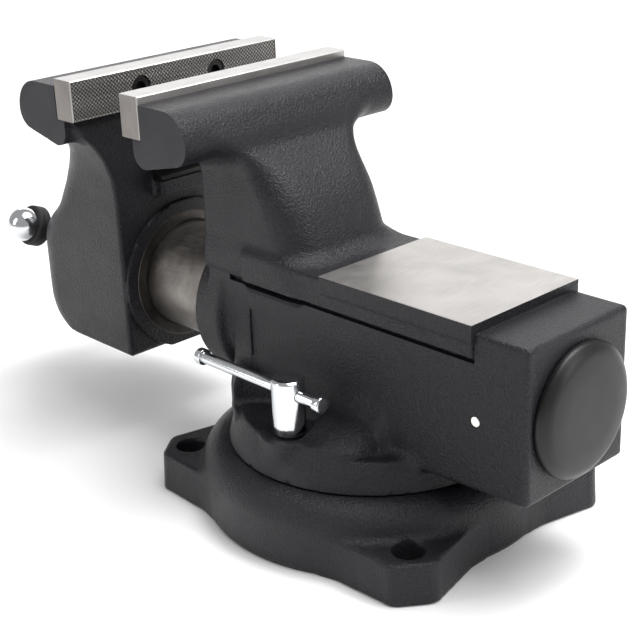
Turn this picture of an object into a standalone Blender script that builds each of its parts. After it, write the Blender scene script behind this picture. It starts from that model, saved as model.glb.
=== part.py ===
"""Bench vise with a swivel base: every piece as its own solid, +Z up, metres.

The origin is the centre of the base's underside, on the swivel axis. +Y points to the anvil end,
-Y to the spindle handle, and the jaws run along X. The vise is modelled partly open, at rest.
"""

import math

import bmesh
import bpy
from mathutils import Matrix, Vector

MM = 0.001

# ---- Driving dimensions -------------------------------------------------------------------
FIT = 0.3 * MM  # clearance between pieces that touch
JAW_WIDTH = 165 * MM
JAW_GAP = 48.4 * MM  # opening at rest
AXIS_Z = 100.5 * MM  # height of the slide and the spindle

# Base
BASE_RADIUS = 104.3 * MM
BASE_HEIGHT = 42 * MM
LUG_HEIGHT = 24.5 * MM
LUG_SETOUT = 10.7 * MM  # from the ring's edge to the bolt holes' centres
LUG_END = 16 * MM  # from a hole's centre to its lug's end
LUG_ANGLE = 52.6  # degrees from the X axis
LUG_HOLE = 9 * MM
TURNTABLE_RADIUS = 87.7 * MM
PIVOT_RADIUS = 16 * MM
PIVOT_TOP = 58 * MM

# Lock-downs
LOCK_SETOUT = 27.5 * MM  # from the body's side wall to the lock nut's axis
LOCK_PAD_Z = 63.4 * MM
LOCK_PAD_RADIUS = 17.5 * MM
LOCK_NUT_RADIUS = 9.3 * MM
LOCK_NUT_HEIGHT = 34.3 * MM
LOCK_BAR_RADIUS = 3.5 * MM
LOCK_BAR_LENGTH = 105.8 * MM
LOCK_BAR_OFFSET = -24.8 * MM  # how far the bar is slid from its middle at rest
TBOLT_RADIUS = 6 * MM
TSLOT_DEPTH = 22 * MM

# Body casting
HOUSING_WALL = 6 * MM  # beside the slide's bore
BODY_BOTTOM = 53.5 * MM
LEDGE_Z = 133.2 * MM  # top of the lower side wall
ANVIL_OVERHANG = 3.5 * MM  # past the side wall
ANVIL_FRONT = 2.3 * MM
ANVIL_REAR = 112.7 * MM
ANVIL_Z = 151 * MM
REAR_Y = 147.3 * MM
REAR_TOP = 146 * MM
NOSE_WALL = 12 * MM  # round the slide at its mouth
NOSE_Y = -107.8 * MM
COLUMN_FRONT = -101 * MM

# Jaws
SEAT_Y = -99.6 * MM  # seat of the fixed insert
SEAT_Z = 218.6 * MM
JAW_TOP = 239.4 * MM
INSERT_THICK = 17 * MM
INSERT_HEIGHT = 25 * MM
INSERT_SCREW_X = 30 * MM
SCREW_RADIUS = 4 * MM
SCREW_HEAD_RADIUS = 6.8 * MM
SCREW_HEAD_HEIGHT = 8 * MM
PIPE_JAW_HALF = 22 * MM
PIPE_JAW_Z = 182.5 * MM
PIPE_JAW_HEIGHT = 27 * MM
PIPE_JAW_THICK = 16 * MM
PIPE_JAW_HOLLOW = 13 * MM
PIPE_JAW_PROUD = 8.5 * MM  # how far the pipe jaws stand out of their castings

# Sliding jaw
SLIDE_RADIUS = 35 * MM
SLIDE_WALL = 8 * MM
SLIDE_REAR = 54 * MM
SLIDE_SEAT = 60 * MM  # how far the tube goes into the sliding jaw
DYNAMIC_HALF = 52.4 * MM
DYNAMIC_DEPTH = 107 * MM  # rear face to front face

# Spindle
SPINDLE_RADIUS = 14 * MM
JOURNAL_STEP = 2 * MM  # how much slimmer the spindle's front bearing is
SPINDLE_REAR = 56 * MM
SPINDLE_HEAD_RADIUS = 22 * MM
SPINDLE_HEAD_LENGTH = 28 * MM
THRUST_WASHER = 3.3 * MM
SPINDLE_NUT_LENGTH = 45 * MM
SPINDLE_NUT_REAR = -45 * MM
NUT_FOOT_HALF = 10 * MM
COLLAR_RIM = 8 * MM  # how far the collar stands out from the spindle
COLLAR_LENGTH = 12 * MM

# Handle
HANDLE_TILT = 22.0  # degrees, free end up
HANDLE_RADIUS = 7.8 * MM
HANDLE_NEAR = 48.5 * MM  # spindle axis to the near ball's centre
HANDLE_FAR = 215 * MM  # and to the far ball's
BALL_RADIUS = 11.7 * MM
BALL_SEAT = 3.2 * MM  # ball centre to its flat
BUFFER_RADIUS = 14.2 * MM
BUFFER_LENGTH = 9.7 * MM

# Rear cap
CAP_RADIUS = 37.5 * MM
CAP_RIM = 4 * MM
CAP_DOME = 4.5 * MM
CAP_SPIGOT_RADIUS = 30 * MM
CAP_SPIGOT_FRONT = 104 * MM
CAP_PIN_RADIUS = 3 * MM
CAP_PIN_Y = 113.2 * MM
CAP_PIN_Z = 97 * MM

# ---- Places worked out from them -------------------------------------------------------------
LUG_CIRCLE = BASE_RADIUS + LUG_SETOUT
LUG_REACH = LUG_CIRCLE + LUG_END
BODY_HALF = SLIDE_RADIUS + HOUSING_WALL
ANVIL_HALF = BODY_HALF + ANVIL_OVERHANG
NOSE_RADIUS = SLIDE_RADIUS + NOSE_WALL
LOCK_X = BODY_HALF + LOCK_SETOUT
FIXED_FACE_Y = SEAT_Y - FIT - INSERT_THICK
MOVING_FACE_Y = FIXED_FACE_Y - JAW_GAP
MOVING_SEAT_Y = MOVING_FACE_Y - INSERT_THICK - FIT
DYNAMIC_REAR = MOVING_SEAT_Y + 10.6 * MM
DYNAMIC_FRONT = DYNAMIC_REAR - DYNAMIC_DEPTH
SLIDE_FRONT = DYNAMIC_REAR - SLIDE_SEAT + FIT
SLIDE_BORE = SLIDE_RADIUS - SLIDE_WALL
JOURNAL_RADIUS = SPINDLE_RADIUS - JOURNAL_STEP
COLLAR_RADIUS = SPINDLE_RADIUS + COLLAR_RIM
FIXED_PIPE_TIP = COLUMN_FRONT - PIPE_JAW_PROUD
MOVING_PIPE_TIP = DYNAMIC_REAR + PIPE_JAW_PROUD
HEAD_REAR = DYNAMIC_FRONT - THRUST_WASHER - 2 * FIT
HANDLE_Y = HEAD_REAR - SPINDLE_HEAD_LENGTH / 2
NUT_FRONT = SPINDLE_NUT_REAR - SPINDLE_NUT_LENGTH
LOCK_NUT_TOP = LOCK_PAD_Z + FIT + LOCK_NUT_HEIGHT
LOCK_BAR_Z = LOCK_NUT_TOP - 9.4 * MM
TURNTABLE_Z = BASE_HEIGHT + FIT
OVERLAP = 1 * MM  # how far a cutter reaches past the face it opens
ALONG_Y = Matrix.Rotation(math.radians(-90), 4, "X")  # turns a Z axis to +Y
HANDLE_FRAME = (
    Matrix.Translation((0, HANDLE_Y, AXIS_Z))
    @ Matrix.Rotation(math.radians(90 - HANDLE_TILT), 4, "Y")
)


# ---- Helpers -------------------------------------------------------------------------------
def clear_scene():
    for old in list(bpy.data.objects):
        bpy.data.objects.remove(old, do_unlink=True)


def material(name, colour, roughness, metallic):
    made = bpy.data.materials.new(name)
    made.use_nodes = True
    shader = made.node_tree.nodes["Principled BSDF"]
    shader.inputs["Base Color"].default_value = (*colour, 1)
    shader.inputs["Roughness"].default_value = roughness
    shader.inputs["Metallic"].default_value = metallic
    return made


def finish(name, bm, finish_name=None, smooth=True):
    """Makes a bmesh an object, with its faces pointing out."""
    bmesh.ops.recalc_face_normals(bm, faces=bm.faces)
    mesh = bpy.data.meshes.new(name)
    bm.to_mesh(mesh)
    bm.free()
    obj = bpy.data.objects.new(name, mesh)
    bpy.context.scene.collection.objects.link(obj)
    if finish_name:
        mesh.materials.append(FINISHES[finish_name])
    if smooth:
        mesh.shade_smooth()
        mesh.set_sharp_from_angle(angle=math.radians(35))
    return obj


def loft(name, rings, finish_name=None):
    """A closed skin through rings of the same number of points, with flat ends."""
    bm = bmesh.new()
    loops = [[bm.verts.new(point) for point in ring] for ring in rings]
    count = len(loops[0])
    for low, high in zip(loops, loops[1:]):
        for i in range(count):
            j = (i + 1) % count
            bm.faces.new((low[i], low[j], high[j], high[i]))
    bm.faces.new(loops[0])
    bm.faces.new(loops[-1])
    return finish(name, bm, finish_name)


def turned(name, profile, place, finish_name=None, segments=40):
    """A closed (radius, height) outline turned round local Z, then put in its place."""
    bm = bmesh.new()
    columns = []
    for radius, height in profile:
        if radius < 1e-9:
            columns.append([bm.verts.new(place @ Vector((0, 0, height)))] * segments)
            continue
        angles = (2 * math.pi * i / segments for i in range(segments))
        points = (Vector((radius * math.cos(a), radius * math.sin(a), height)) for a in angles)
        columns.append([bm.verts.new(place @ point) for point in points])
    for now, after in zip(columns, columns[1:] + columns[:1]):
        for i in range(segments):
            j = (i + 1) % segments
            corners = [now[i], now[j], after[j], after[i]]
            unique = list(dict.fromkeys(corners))
            if len(unique) > 2:
                bm.faces.new(unique)
    return finish(name, bm, finish_name)


def rod(name, radius, start, end, place, finish_name=None, segments=32, chamfer=0.0):
    """A plain cylinder along local Z, with chamfered ends where asked."""
    profile = [(0, start), (radius - chamfer, start)]
    if chamfer:
        profile += [(radius, start + chamfer), (radius, end - chamfer)]
        profile += [(radius - chamfer, end), (0, end)]
    else:
        profile += [(radius, end), (0, end)]
        profile[1] = (radius, start)
    return turned(name, profile, place, finish_name, segments)


def prism(name, outline, start, end, plane, finish_name=None):
    """An outline drawn in plane "yz" or "xy", carried from start to end along the third axis."""
    if plane == "yz":
        rings = [[(at, a, b) for a, b in outline] for at in (start, end)]
    else:
        rings = [[(a, b, at) for a, b in outline] for at in (start, end)]
    return loft(name, rings, finish_name)


def block(name, low, high, finish_name=None, bevel=0.0, segments=3):
    outline = [(low[0], low[1]), (high[0], low[1]), (high[0], high[1]), (low[0], high[1])]
    obj = prism(name, outline, low[2], high[2], "xy", finish_name)
    if bevel:
        round_edges(obj, bevel, segments)
    return obj


def round_edges(obj, width, segments=3):
    modifier = obj.modifiers.new("rounded", "BEVEL")
    modifier.width = width
    modifier.segments = segments
    modifier.limit_method = "ANGLE"
    modifier.angle_limit = math.radians(35)


def boolean(obj, others, operation):
    """One exact Boolean of obj with all the others together."""
    group = bpy.data.collections.new(f"{obj.name}_{operation.lower()}")
    for other in others:
        other.hide_render = True
        other.display_type = "WIRE"
        group.objects.link(other)
    modifier = obj.modifiers.new(group.name, "BOOLEAN")
    modifier.operation = operation
    modifier.solver = "EXACT"
    modifier.operand_type = "COLLECTION"
    modifier.collection = group


def join(obj, *others):
    boolean(obj, others, "UNION")


def cut(obj, *others):
    boolean(obj, others, "DIFFERENCE")


def arc(centre, radius, start, end, steps):
    """Points of an arc, from start to end in degrees."""
    angles = (math.radians(start + (end - start) * i / steps) for i in range(steps + 1))
    return [(centre[0] + radius * math.cos(a), centre[1] + radius * math.sin(a)) for a in angles]


def rounded_section(half, front, rear, front_radius, rear_radius, z, steps=6):
    """A horizontal ring: a rectangle from front to rear in y, with rounded corners."""
    corners = [
        (half - front_radius, front + front_radius, front_radius, -90),
        (half - rear_radius, rear - rear_radius, rear_radius, 0),
        (-half + rear_radius, rear - rear_radius, rear_radius, 90),
        (-half + front_radius, front + front_radius, front_radius, 180),
    ]
    points = []
    for x, y, radius, start in corners:
        points += arc((x, y), radius, start, start + 90, steps)
    return [(x, y, z) for x, y in points]


def on_axis(y=0.0):
    """Local Z along +Y, on the slide's axis."""
    return Matrix.Translation((0, y, AXIS_Z)) @ ALONG_Y


def upright(x, y):
    return Matrix.Translation((x, y, 0))


# ---- Base ----------------------------------------------------------------------------------
def lug_outline(angle):
    """One mounting lug: two sides that open towards the ring and a rounded outer end."""
    middle = math.radians(angle)
    root = math.radians(25)
    tip = math.radians(4.6)
    corner = 9 * MM
    side = []
    for sign in (-1, 1):
        foot = Vector((math.cos(middle + sign * root), math.sin(middle + sign * root)))
        end = Vector((math.cos(middle + sign * tip), math.sin(middle + sign * tip)))
        side.append((foot * (BASE_RADIUS - 3 * MM), end * (LUG_REACH - corner)))
    (foot_a, end_a), (foot_b, end_b) = side
    start = angle - 64
    points = [tuple(foot_a)]
    points += arc(end_a, corner, start, start + 64, 4)
    points += arc(end_b, corner, angle, angle + 64, 4)
    points += [tuple(foot_b), (0.0, 0.0)]
    return points


def make_base():
    shoulder = arc((0, 0), 1, 0, 80, 5)
    top_radius = TURNTABLE_RADIUS + 0.3 * MM
    wide = BASE_RADIUS - 0.2 * MM - top_radius
    tall = 16 * MM
    # The ring is widest just below the lugs' tops, so nothing overhangs a washer laid on them.
    profile = [(0, 0), (BASE_RADIUS - 2 * MM, 0), (BASE_RADIUS, LUG_HEIGHT - 3 * MM)]
    profile += [(top_radius + wide * a, BASE_HEIGHT - tall + tall * b) for a, b in shoulder]
    profile += [(top_radius, BASE_HEIGHT), (0, BASE_HEIGHT)]
    base = turned("base_casting", profile, upright(0, 0), "casting", 60)
    lugs = []
    cutters = []
    for i, angle in enumerate((LUG_ANGLE, 180 - LUG_ANGLE, 180 + LUG_ANGLE, -LUG_ANGLE)):
        lug = prism(f"lug_{i}", lug_outline(angle), 0, LUG_HEIGHT, "xy")
        round_edges(lug, 1.4 * MM, 1)
        lugs.append(lug)
        a = math.radians(angle)
        place = upright(LUG_CIRCLE * math.cos(a), LUG_CIRCLE * math.sin(a))
        cutters.append(rod(f"lug_hole_{i}", LUG_HOLE, -OVERLAP, LUG_HEIGHT + OVERLAP, place))
    slot_floor = BASE_HEIGHT - TSLOT_DEPTH
    neck = TBOLT_RADIUS + 1 * MM
    wing = 12 * MM
    shelf = slot_floor + 11 * MM
    slot = [
        (LOCK_X - wing, slot_floor),
        (LOCK_X + wing, slot_floor),
        (LOCK_X + wing, shelf),
        (LOCK_X + neck, shelf),
        (LOCK_X + neck, BASE_HEIGHT + OVERLAP),
        (LOCK_X - neck, BASE_HEIGHT + OVERLAP),
        (LOCK_X - neck, shelf),
        (LOCK_X - wing, shelf),
    ]
    cutters.append(turned("t_slot", slot, upright(0, 0), segments=44))
    reach = (slot_floor + OVERLAP, BASE_HEIGHT + OVERLAP)
    cutters.append(rod("t_slot_entry", wing + 0.4 * MM, *reach, upright(0, LOCK_X)))
    hollow = [(34 * MM, -OVERLAP), (88 * MM, -OVERLAP), (86 * MM, 12 * MM), (36 * MM, 12 * MM)]
    cutters.append(turned("underside", hollow, upright(0, 0), segments=44))
    reach = (14 * MM, BASE_HEIGHT + OVERLAP)
    cutters.append(rod("pivot_bore", PIVOT_RADIUS + FIT, *reach, upright(0, 0)))
    join(base, *lugs)
    cut(base, *cutters)
    rod("swivel_pivot", PIVOT_RADIUS, 14 * MM + FIT, PIVOT_TOP, upright(0, 0), "steel", 40, 1.5 * MM)


# ---- Jaw outlines ----------------------------------------------------------------------------
def jaw_outline(seat, away):
    """The jaw's end outline (y, z). away is +1 or -1: the side that faces away from the gap."""
    lip = 7.4 * MM
    belly = math.degrees(math.atan(0.218))
    points = [(0, SEAT_Z), (0, JAW_TOP)]
    points += arc((21.8 * MM, JAW_TOP - 19 * MM), 19 * MM, 90, 0, 7)
    points += arc((28.8 * MM, JAW_TOP - 19 * MM), 12 * MM, -12, belly - 90, 5)
    points += arc((2.1 * MM, 211.8 * MM), lip + 2.1 * MM, belly - 90, -180, 6)
    points += [(-lip, SEAT_Z)]
    return [(seat + away * u, z) for u, z in points]


def insert_screw_places(y, direction):
    """Frames on the insert's two screws; local Z points from the head into the casting."""
    turn = Matrix.Rotation(math.radians(-90 * direction), 4, "X")
    z = SEAT_Z + FIT + INSERT_HEIGHT / 2
    return [Matrix.Translation((x, y, z)) @ turn for x in (INSERT_SCREW_X, -INSERT_SCREW_X)]


def make_insert(side, face, direction):
    """A hardened insert and its screws; direction is +1 where the casting lies towards +Y."""
    low_y, high_y = sorted((face, face + direction * INSERT_THICK))
    half = JAW_WIDTH / 2
    low = (-half, low_y, SEAT_Z + FIT)
    high = (half, high_y, SEAT_Z + FIT + INSERT_HEIGHT)
    insert = block(f"{side}_jaw_insert", low, high, "ground_steel", 0.6 * MM, 1)
    counterbore = SCREW_HEAD_HEIGHT + 1.5 * MM
    holes = []
    for i, place in enumerate(insert_screw_places(face, direction)):
        hole = [
            (0, -OVERLAP),
            (SCREW_HEAD_RADIUS + 0.4 * MM, -OVERLAP),
            (SCREW_HEAD_RADIUS + 0.4 * MM, counterbore),
            (SCREW_RADIUS + FIT, counterbore),
            (SCREW_RADIUS + FIT, INSERT_THICK + OVERLAP),
            (0, INSERT_THICK + OVERLAP),
        ]
        holes.append(turned(f"{side}_insert_hole_{i}", hole, place, segments=24))
        socket = 3.4 * MM
        head = counterbore - FIT - SCREW_HEAD_HEIGHT
        screw = [
            (0, head + 4 * MM),
            (socket, head + 4 * MM),
            (socket, head),
            (SCREW_HEAD_RADIUS, head),
            (SCREW_HEAD_RADIUS, counterbore - FIT),
            (SCREW_RADIUS, counterbore - FIT),
            (SCREW_RADIUS, INSERT_THICK + 16 * MM),
            (0, INSERT_THICK + 16 * MM),
        ]
        turned(f"{side}_insert_screw_{i + 1}", screw, place, "black_steel", 20)
    cut(insert, *holes)


def insert_screw_bores(side, face, direction):
    reach = (INSERT_THICK - 2 * MM, INSERT_THICK + 17 * MM)
    return [
        rod(f"{side}_screw_bore_{i}", SCREW_RADIUS + FIT, *reach, place)
        for i, place in enumerate(insert_screw_places(face, direction))
    ]


def make_pipe_jaw(side, tip, direction):
    """A toothed block under the insert, hollowed to grip round stock, with its screw."""
    back = tip + direction * PIPE_JAW_THICK
    low_y, high_y = sorted((tip, back))
    low = (-PIPE_JAW_HALF, low_y, PIPE_JAW_Z - PIPE_JAW_HEIGHT / 2)
    high = (PIPE_JAW_HALF, high_y, PIPE_JAW_Z + PIPE_JAW_HEIGHT / 2)
    jaw = block(f"{side}_pipe_jaw", low, high, "black_steel", 0.8 * MM, 1)
    across = Matrix.Rotation(math.radians(90), 4, "Y")
    centre = Matrix.Translation((0, tip - direction * 6 * MM, PIPE_JAW_Z)) @ across
    reach = PIPE_JAW_HALF + OVERLAP
    hollow = rod(f"{side}_pipe_hollow", PIPE_JAW_HOLLOW, -reach, reach, centre)
    turn = Matrix.Rotation(math.radians(-90 * direction), 4, "X")
    place = Matrix.Translation((0, tip, PIPE_JAW_Z)) @ turn
    seat = 12 * MM
    hole = [
        (0, -2 * MM),
        (5.2 * MM, -2 * MM),
        (5.2 * MM, seat),
        (2.8 * MM, seat),
        (2.8 * MM, PIPE_JAW_THICK + OVERLAP),
        (0, PIPE_JAW_THICK + OVERLAP),
    ]
    cut(jaw, hollow, turned(f"{side}_pipe_hole", hole, place, segments=20))
    screw = [
        (0, 9.5 * MM),
        (4.9 * MM, 9.5 * MM),
        (4.9 * MM, seat - FIT),
        (2.5 * MM, seat - FIT),
        (2.5 * MM, PIPE_JAW_THICK + 10 * MM),
        (0, PIPE_JAW_THICK + 10 * MM),
    ]
    turned(f"{side}_pipe_jaw_screw", screw, place, "black_steel", 20)


def pipe_jaw_shelf(side, tip, direction):
    """The cast step a pipe jaw stands on."""
    low_y, high_y = sorted((tip + direction * 1.5 * MM, tip + direction * PIPE_JAW_THICK))
    bottom = PIPE_JAW_Z - PIPE_JAW_HEIGHT / 2 - 10.5 * MM
    low = (-PIPE_JAW_HALF, low_y, bottom)
    high = (PIPE_JAW_HALF, high_y, bottom + 12 * MM)
    return block(f"{side}_pipe_shelf", low, high, None, 1 * MM, 1)


def pipe_jaw_pocket(side, tip, direction):
    """Cutters for the seat and the screw bore of a pipe jaw."""
    back = tip + direction * (PIPE_JAW_THICK + FIT)
    low_y, high_y = sorted((tip - direction * 30 * MM, back))
    half = PIPE_JAW_HALF + FIT
    tall = PIPE_JAW_HEIGHT / 2 + FIT
    low = (-half, low_y, PIPE_JAW_Z - tall)
    pocket = block(f"{side}_pipe_pocket", low, (half, high_y, PIPE_JAW_Z + tall))
    turn = Matrix.Rotation(math.radians(-90 * direction), 4, "X")
    place = Matrix.Translation((0, tip, PIPE_JAW_Z)) @ turn
    reach = (PIPE_JAW_THICK - 2 * MM, PIPE_JAW_THICK + 11 * MM)
    return [pocket, rod(f"{side}_pipe_bore", 2.8 * MM, *reach, place)]


# ---- Fixed body ------------------------------------------------------------------------------
def body_column():
    """The fixed jaw's column: its rear face sweeps up and forward, and its top flares out."""
    sections = (
        (LEDGE_Z - 12 * MM, BODY_HALF - 3 * MM, -5 * MM, 16 * MM),
        (LEDGE_Z + 0.4 * MM, BODY_HALF - 2 * MM, -6 * MM, 16 * MM),
        (LEDGE_Z + 0.5 * MM, ANVIL_HALF - 0.3 * MM, -6 * MM, 16 * MM),
        (141 * MM, ANVIL_HALF - 0.4 * MM, -10 * MM, 20 * MM),
        (151 * MM, 43.4 * MM, -14 * MM, 23 * MM),
        (167 * MM, 42 * MM, -20.3 * MM, 24 * MM),
        (180 * MM, 42 * MM, -26 * MM, 23 * MM),
        (190 * MM, 42 * MM, -33 * MM, 21 * MM),
        (200 * MM, 43 * MM, -43 * MM, 18 * MM),
        (206 * MM, 46 * MM, -50 * MM, 16 * MM),
        (213 * MM, 54 * MM, -58 * MM, 14 * MM),
        (218 * MM, 60 * MM, -61 * MM, 13 * MM),
    )
    rings = [
        rounded_section(half, COLUMN_FRONT, rear, 7 * MM, radius, z)
        for z, half, rear, radius in sections
    ]
    return loft("body_column", rings)


def make_body():
    low = (-BODY_HALF, NOSE_Y + 9 * MM, BODY_BOTTOM)
    high = (BODY_HALF, ANVIL_REAR + 4 * MM, LEDGE_Z)
    body = block("body_casting", low, high, "casting", 3 * MM)
    low = (-BODY_HALF, ANVIL_REAR - 8 * MM, BODY_BOTTOM + 2 * MM)
    tail = block("body_tail", low, (BODY_HALF, REAR_Y, REAR_TOP), None, 4 * MM, 4)
    low = (-ANVIL_HALF, ANVIL_FRONT - 40 * MM, LEDGE_Z + 0.2 * MM)
    anvil = block("body_anvil", low, (ANVIL_HALF, ANVIL_REAR, ANVIL_Z), None, 0.8 * MM, 2)
    jaw = prism("body_jaw", jaw_outline(SEAT_Y, 1), -JAW_WIDTH / 2, JAW_WIDTH / 2, "yz")
    nose = [
        (0, 0),
        (NOSE_RADIUS - 4 * MM, 0),
        (NOSE_RADIUS - 1.2 * MM, 1.2 * MM),
        (NOSE_RADIUS, 4 * MM),
        (NOSE_RADIUS, 34 * MM),
        (NOSE_RADIUS - 10 * MM, 60 * MM),
        (0, 60 * MM),
    ]
    nose = turned("body_nose", nose, on_axis(NOSE_Y), segments=48)
    shelf = pipe_jaw_shelf("fixed", FIXED_PIPE_TIP, 1)
    pads = [lock_pad(side) for side in (-1, 1)]
    join(body, tail, anvil, body_column(), jaw, nose, shelf, body_drum(), body_neck(), *pads)
    cutters = body_bores()
    for side in (-1, 1):
        cutters += lock_cutters(side)
        cutters.append(body_panel(side))
        cutters.append(ledge_groove(side))
    cutters += insert_screw_bores("fixed", FIXED_FACE_Y, 1)
    cutters += pipe_jaw_pocket("fixed", FIXED_PIPE_TIP, 1)
    cut(body, *cutters)


def body_drum():
    """The turntable: a low drum that narrows towards the body."""
    profile = [
        (0, TURNTABLE_Z),
        (TURNTABLE_RADIUS, TURNTABLE_Z),
        (TURNTABLE_RADIUS, 46 * MM),
        (86.4 * MM, 52 * MM),
        (83 * MM, 58 * MM),
        (76 * MM, 62 * MM),
        (66 * MM, 66 * MM),
        (52 * MM, 74 * MM),
        (0, 74 * MM),
    ]
    return turned("body_drum", profile, upright(0, 0), segments=60)


def body_neck():
    """The block between the turntable and the body."""
    sections = (
        (50 * MM, 53 * MM, -74 * MM, 56 * MM),
        (64 * MM, 53 * MM, -74 * MM, 56 * MM),
        (72 * MM, 49 * MM, -74 * MM, 54 * MM),
        (84 * MM, BODY_HALF - 0.5 * MM, -74 * MM, 50 * MM),
    )
    rings = [rounded_section(half, front, rear, 12 * MM, 16 * MM, z) for z, half, front, rear in sections]
    return loft("body_neck", rings)


def lock_pad(side):
    """The boss under one lock nut."""
    rim = LOCK_PAD_Z + 0.5 * MM
    place = upright(side * LOCK_X, 0)
    return rod(f"lock_pad_{side}", LOCK_PAD_RADIUS, 45 * MM, rim, place, None, 40, 1 * MM)


def lock_cutters(side):
    """The nut's spot face, the bolt's hole and the scoop in front of the boss."""
    place = upright(side * LOCK_X, 0)
    spot = rod(f"lock_spot_{side}", LOCK_NUT_RADIUS + 3 * MM, LOCK_PAD_Z, 95 * MM, place, None, 36)
    reach = (BASE_HEIGHT - OVERLAP, LOCK_PAD_Z + OVERLAP)
    hole = rod(f"lock_hole_{side}", TBOLT_RADIUS + FIT, *reach, place, None, 28)
    profile = [
        (0, 57 * MM),
        (16 * MM, 57 * MM),
        (22 * MM, 61 * MM),
        (24 * MM, 68 * MM),
        (24 * MM, 90 * MM),
        (0, 90 * MM),
    ]
    place = upright(side * 71 * MM, -36 * MM)
    return [spot, hole, turned(f"lock_scoop_{side}", profile, place, segments=40)]


def body_panel(side):
    """A plain shallow recess in the side wall."""
    low, high = sorted((side * (BODY_HALF - 1.5 * MM), side * (BODY_HALF + 3 * MM)))
    return block(f"panel_{side}", (low, -61 * MM, 75 * MM), (high, 46 * MM, 115 * MM))


def ledge_groove(side):
    """The groove between the side wall and the wider anvil above it."""
    low, high = sorted((side * (BODY_HALF - 1.5 * MM), side * (BODY_HALF + 6 * MM)))
    start = (low, -77 * MM, LEDGE_Z - 1.8 * MM)
    return block(f"ledge_groove_{side}", start, (high, ANVIL_REAR - 1 * MM, LEDGE_Z + 0.1 * MM))


def body_bores():
    reach = (NOSE_Y - OVERLAP, CAP_SPIGOT_FRONT - FIT)
    main = rod("main_bore", SLIDE_RADIUS + FIT, *reach, on_axis(), None, 44)
    reach = (CAP_SPIGOT_FRONT - OVERLAP, REAR_Y + OVERLAP)
    cap = rod("cap_bore", CAP_SPIGOT_RADIUS + FIT, *reach, on_axis(), None, 40)
    end = BODY_HALF + OVERLAP
    pin = rod("cap_pin_bore", CAP_PIN_RADIUS + FIT, -end, end, cap_pin_place(), None, 20)
    half = NUT_FOOT_HALF + FIT
    low = (-half, NUT_FRONT - FIT, BODY_BOTTOM + 2 * MM - FIT)
    foot = block("nut_pocket", low, (half, SPINDLE_NUT_REAR + FIT, AXIS_Z))
    middle = (NUT_FRONT + SPINDLE_NUT_REAR) / 2
    anchor = [
        (0, TURNTABLE_Z - OVERLAP),
        (9.3 * MM, TURNTABLE_Z - OVERLAP),
        (9.3 * MM, 49 * MM),
        (5.3 * MM, 49 * MM),
        (5.3 * MM, 60 * MM),
        (0, 60 * MM),
    ]
    anchor = turned("anchor_bore", anchor, upright(0, middle), segments=24)
    reach = (BASE_HEIGHT - OVERLAP, PIVOT_TOP + FIT)
    pivot = rod("pivot_socket", PIVOT_RADIUS + FIT, *reach, upright(0, 0))
    return [main, cap, pin, foot, anchor, pivot]


def cap_pin_place():
    across = Matrix.Rotation(math.radians(90), 4, "Y")
    return Matrix.Translation((0, CAP_PIN_Y, CAP_PIN_Z)) @ across


def make_rear_cap():
    face = REAR_Y + FIT
    dome = [
        (CAP_RADIUS * math.cos(math.radians(a)), CAP_RIM + CAP_DOME * math.sin(math.radians(a)))
        for a in (0, 20, 40, 60, 76)
    ]
    inner = 24 * MM
    depth = face - CAP_SPIGOT_FRONT
    profile = [(0, 0), (inner, 0), (inner, -depth), (CAP_SPIGOT_RADIUS, -depth)]
    profile += [(CAP_SPIGOT_RADIUS, 0), (CAP_RADIUS, 0)] + dome + [(0, CAP_RIM + CAP_DOME)]
    cap = turned("rear_cap", profile, on_axis(face), "cap", 44)
    reach = CAP_SPIGOT_RADIUS + OVERLAP
    cut(cap, rod("cap_cross_bore", CAP_PIN_RADIUS + FIT, -reach, reach, cap_pin_place(), None, 20))
    end = BODY_HALF - 0.2 * MM
    rod("cap_pin", CAP_PIN_RADIUS, -end, end, cap_pin_place(), "steel", 20, 0.5 * MM)


def make_spindle_nut():
    middle = (NUT_FRONT + SPINDLE_NUT_REAR) / 2
    nut = rod("spindle_nut", SLIDE_BORE - 0.6 * MM, NUT_FRONT, SPINDLE_NUT_REAR, on_axis(), "iron", 40)
    low = (-NUT_FOOT_HALF, NUT_FRONT, BODY_BOTTOM + 2 * MM)
    foot = block("nut_foot", low, (NUT_FOOT_HALF, SPINDLE_NUT_REAR, AXIS_Z - SPINDLE_RADIUS - 3 * MM))
    join(nut, foot)
    reach = (NUT_FRONT - OVERLAP, SPINDLE_NUT_REAR + OVERLAP)
    thread = rod("nut_thread", SPINDLE_RADIUS + FIT, *reach, on_axis(), None, 40)
    cut(nut, thread, rod("nut_tap", 5.3 * MM, 50 * MM, 74 * MM, upright(0, middle), None, 24))
    bolt = [
        (0, 46.5 * MM),
        (4 * MM, 46.5 * MM),
        (4 * MM, TURNTABLE_Z + FIT),
        (8.8 * MM, TURNTABLE_Z + FIT),
        (8.8 * MM, 48.7 * MM),
        (5 * MM, 48.7 * MM),
        (5 * MM, 72 * MM),
        (0, 72 * MM),
    ]
    turned("nut_anchor_bolt", bolt, upright(0, middle), "black_steel", 24)


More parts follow.
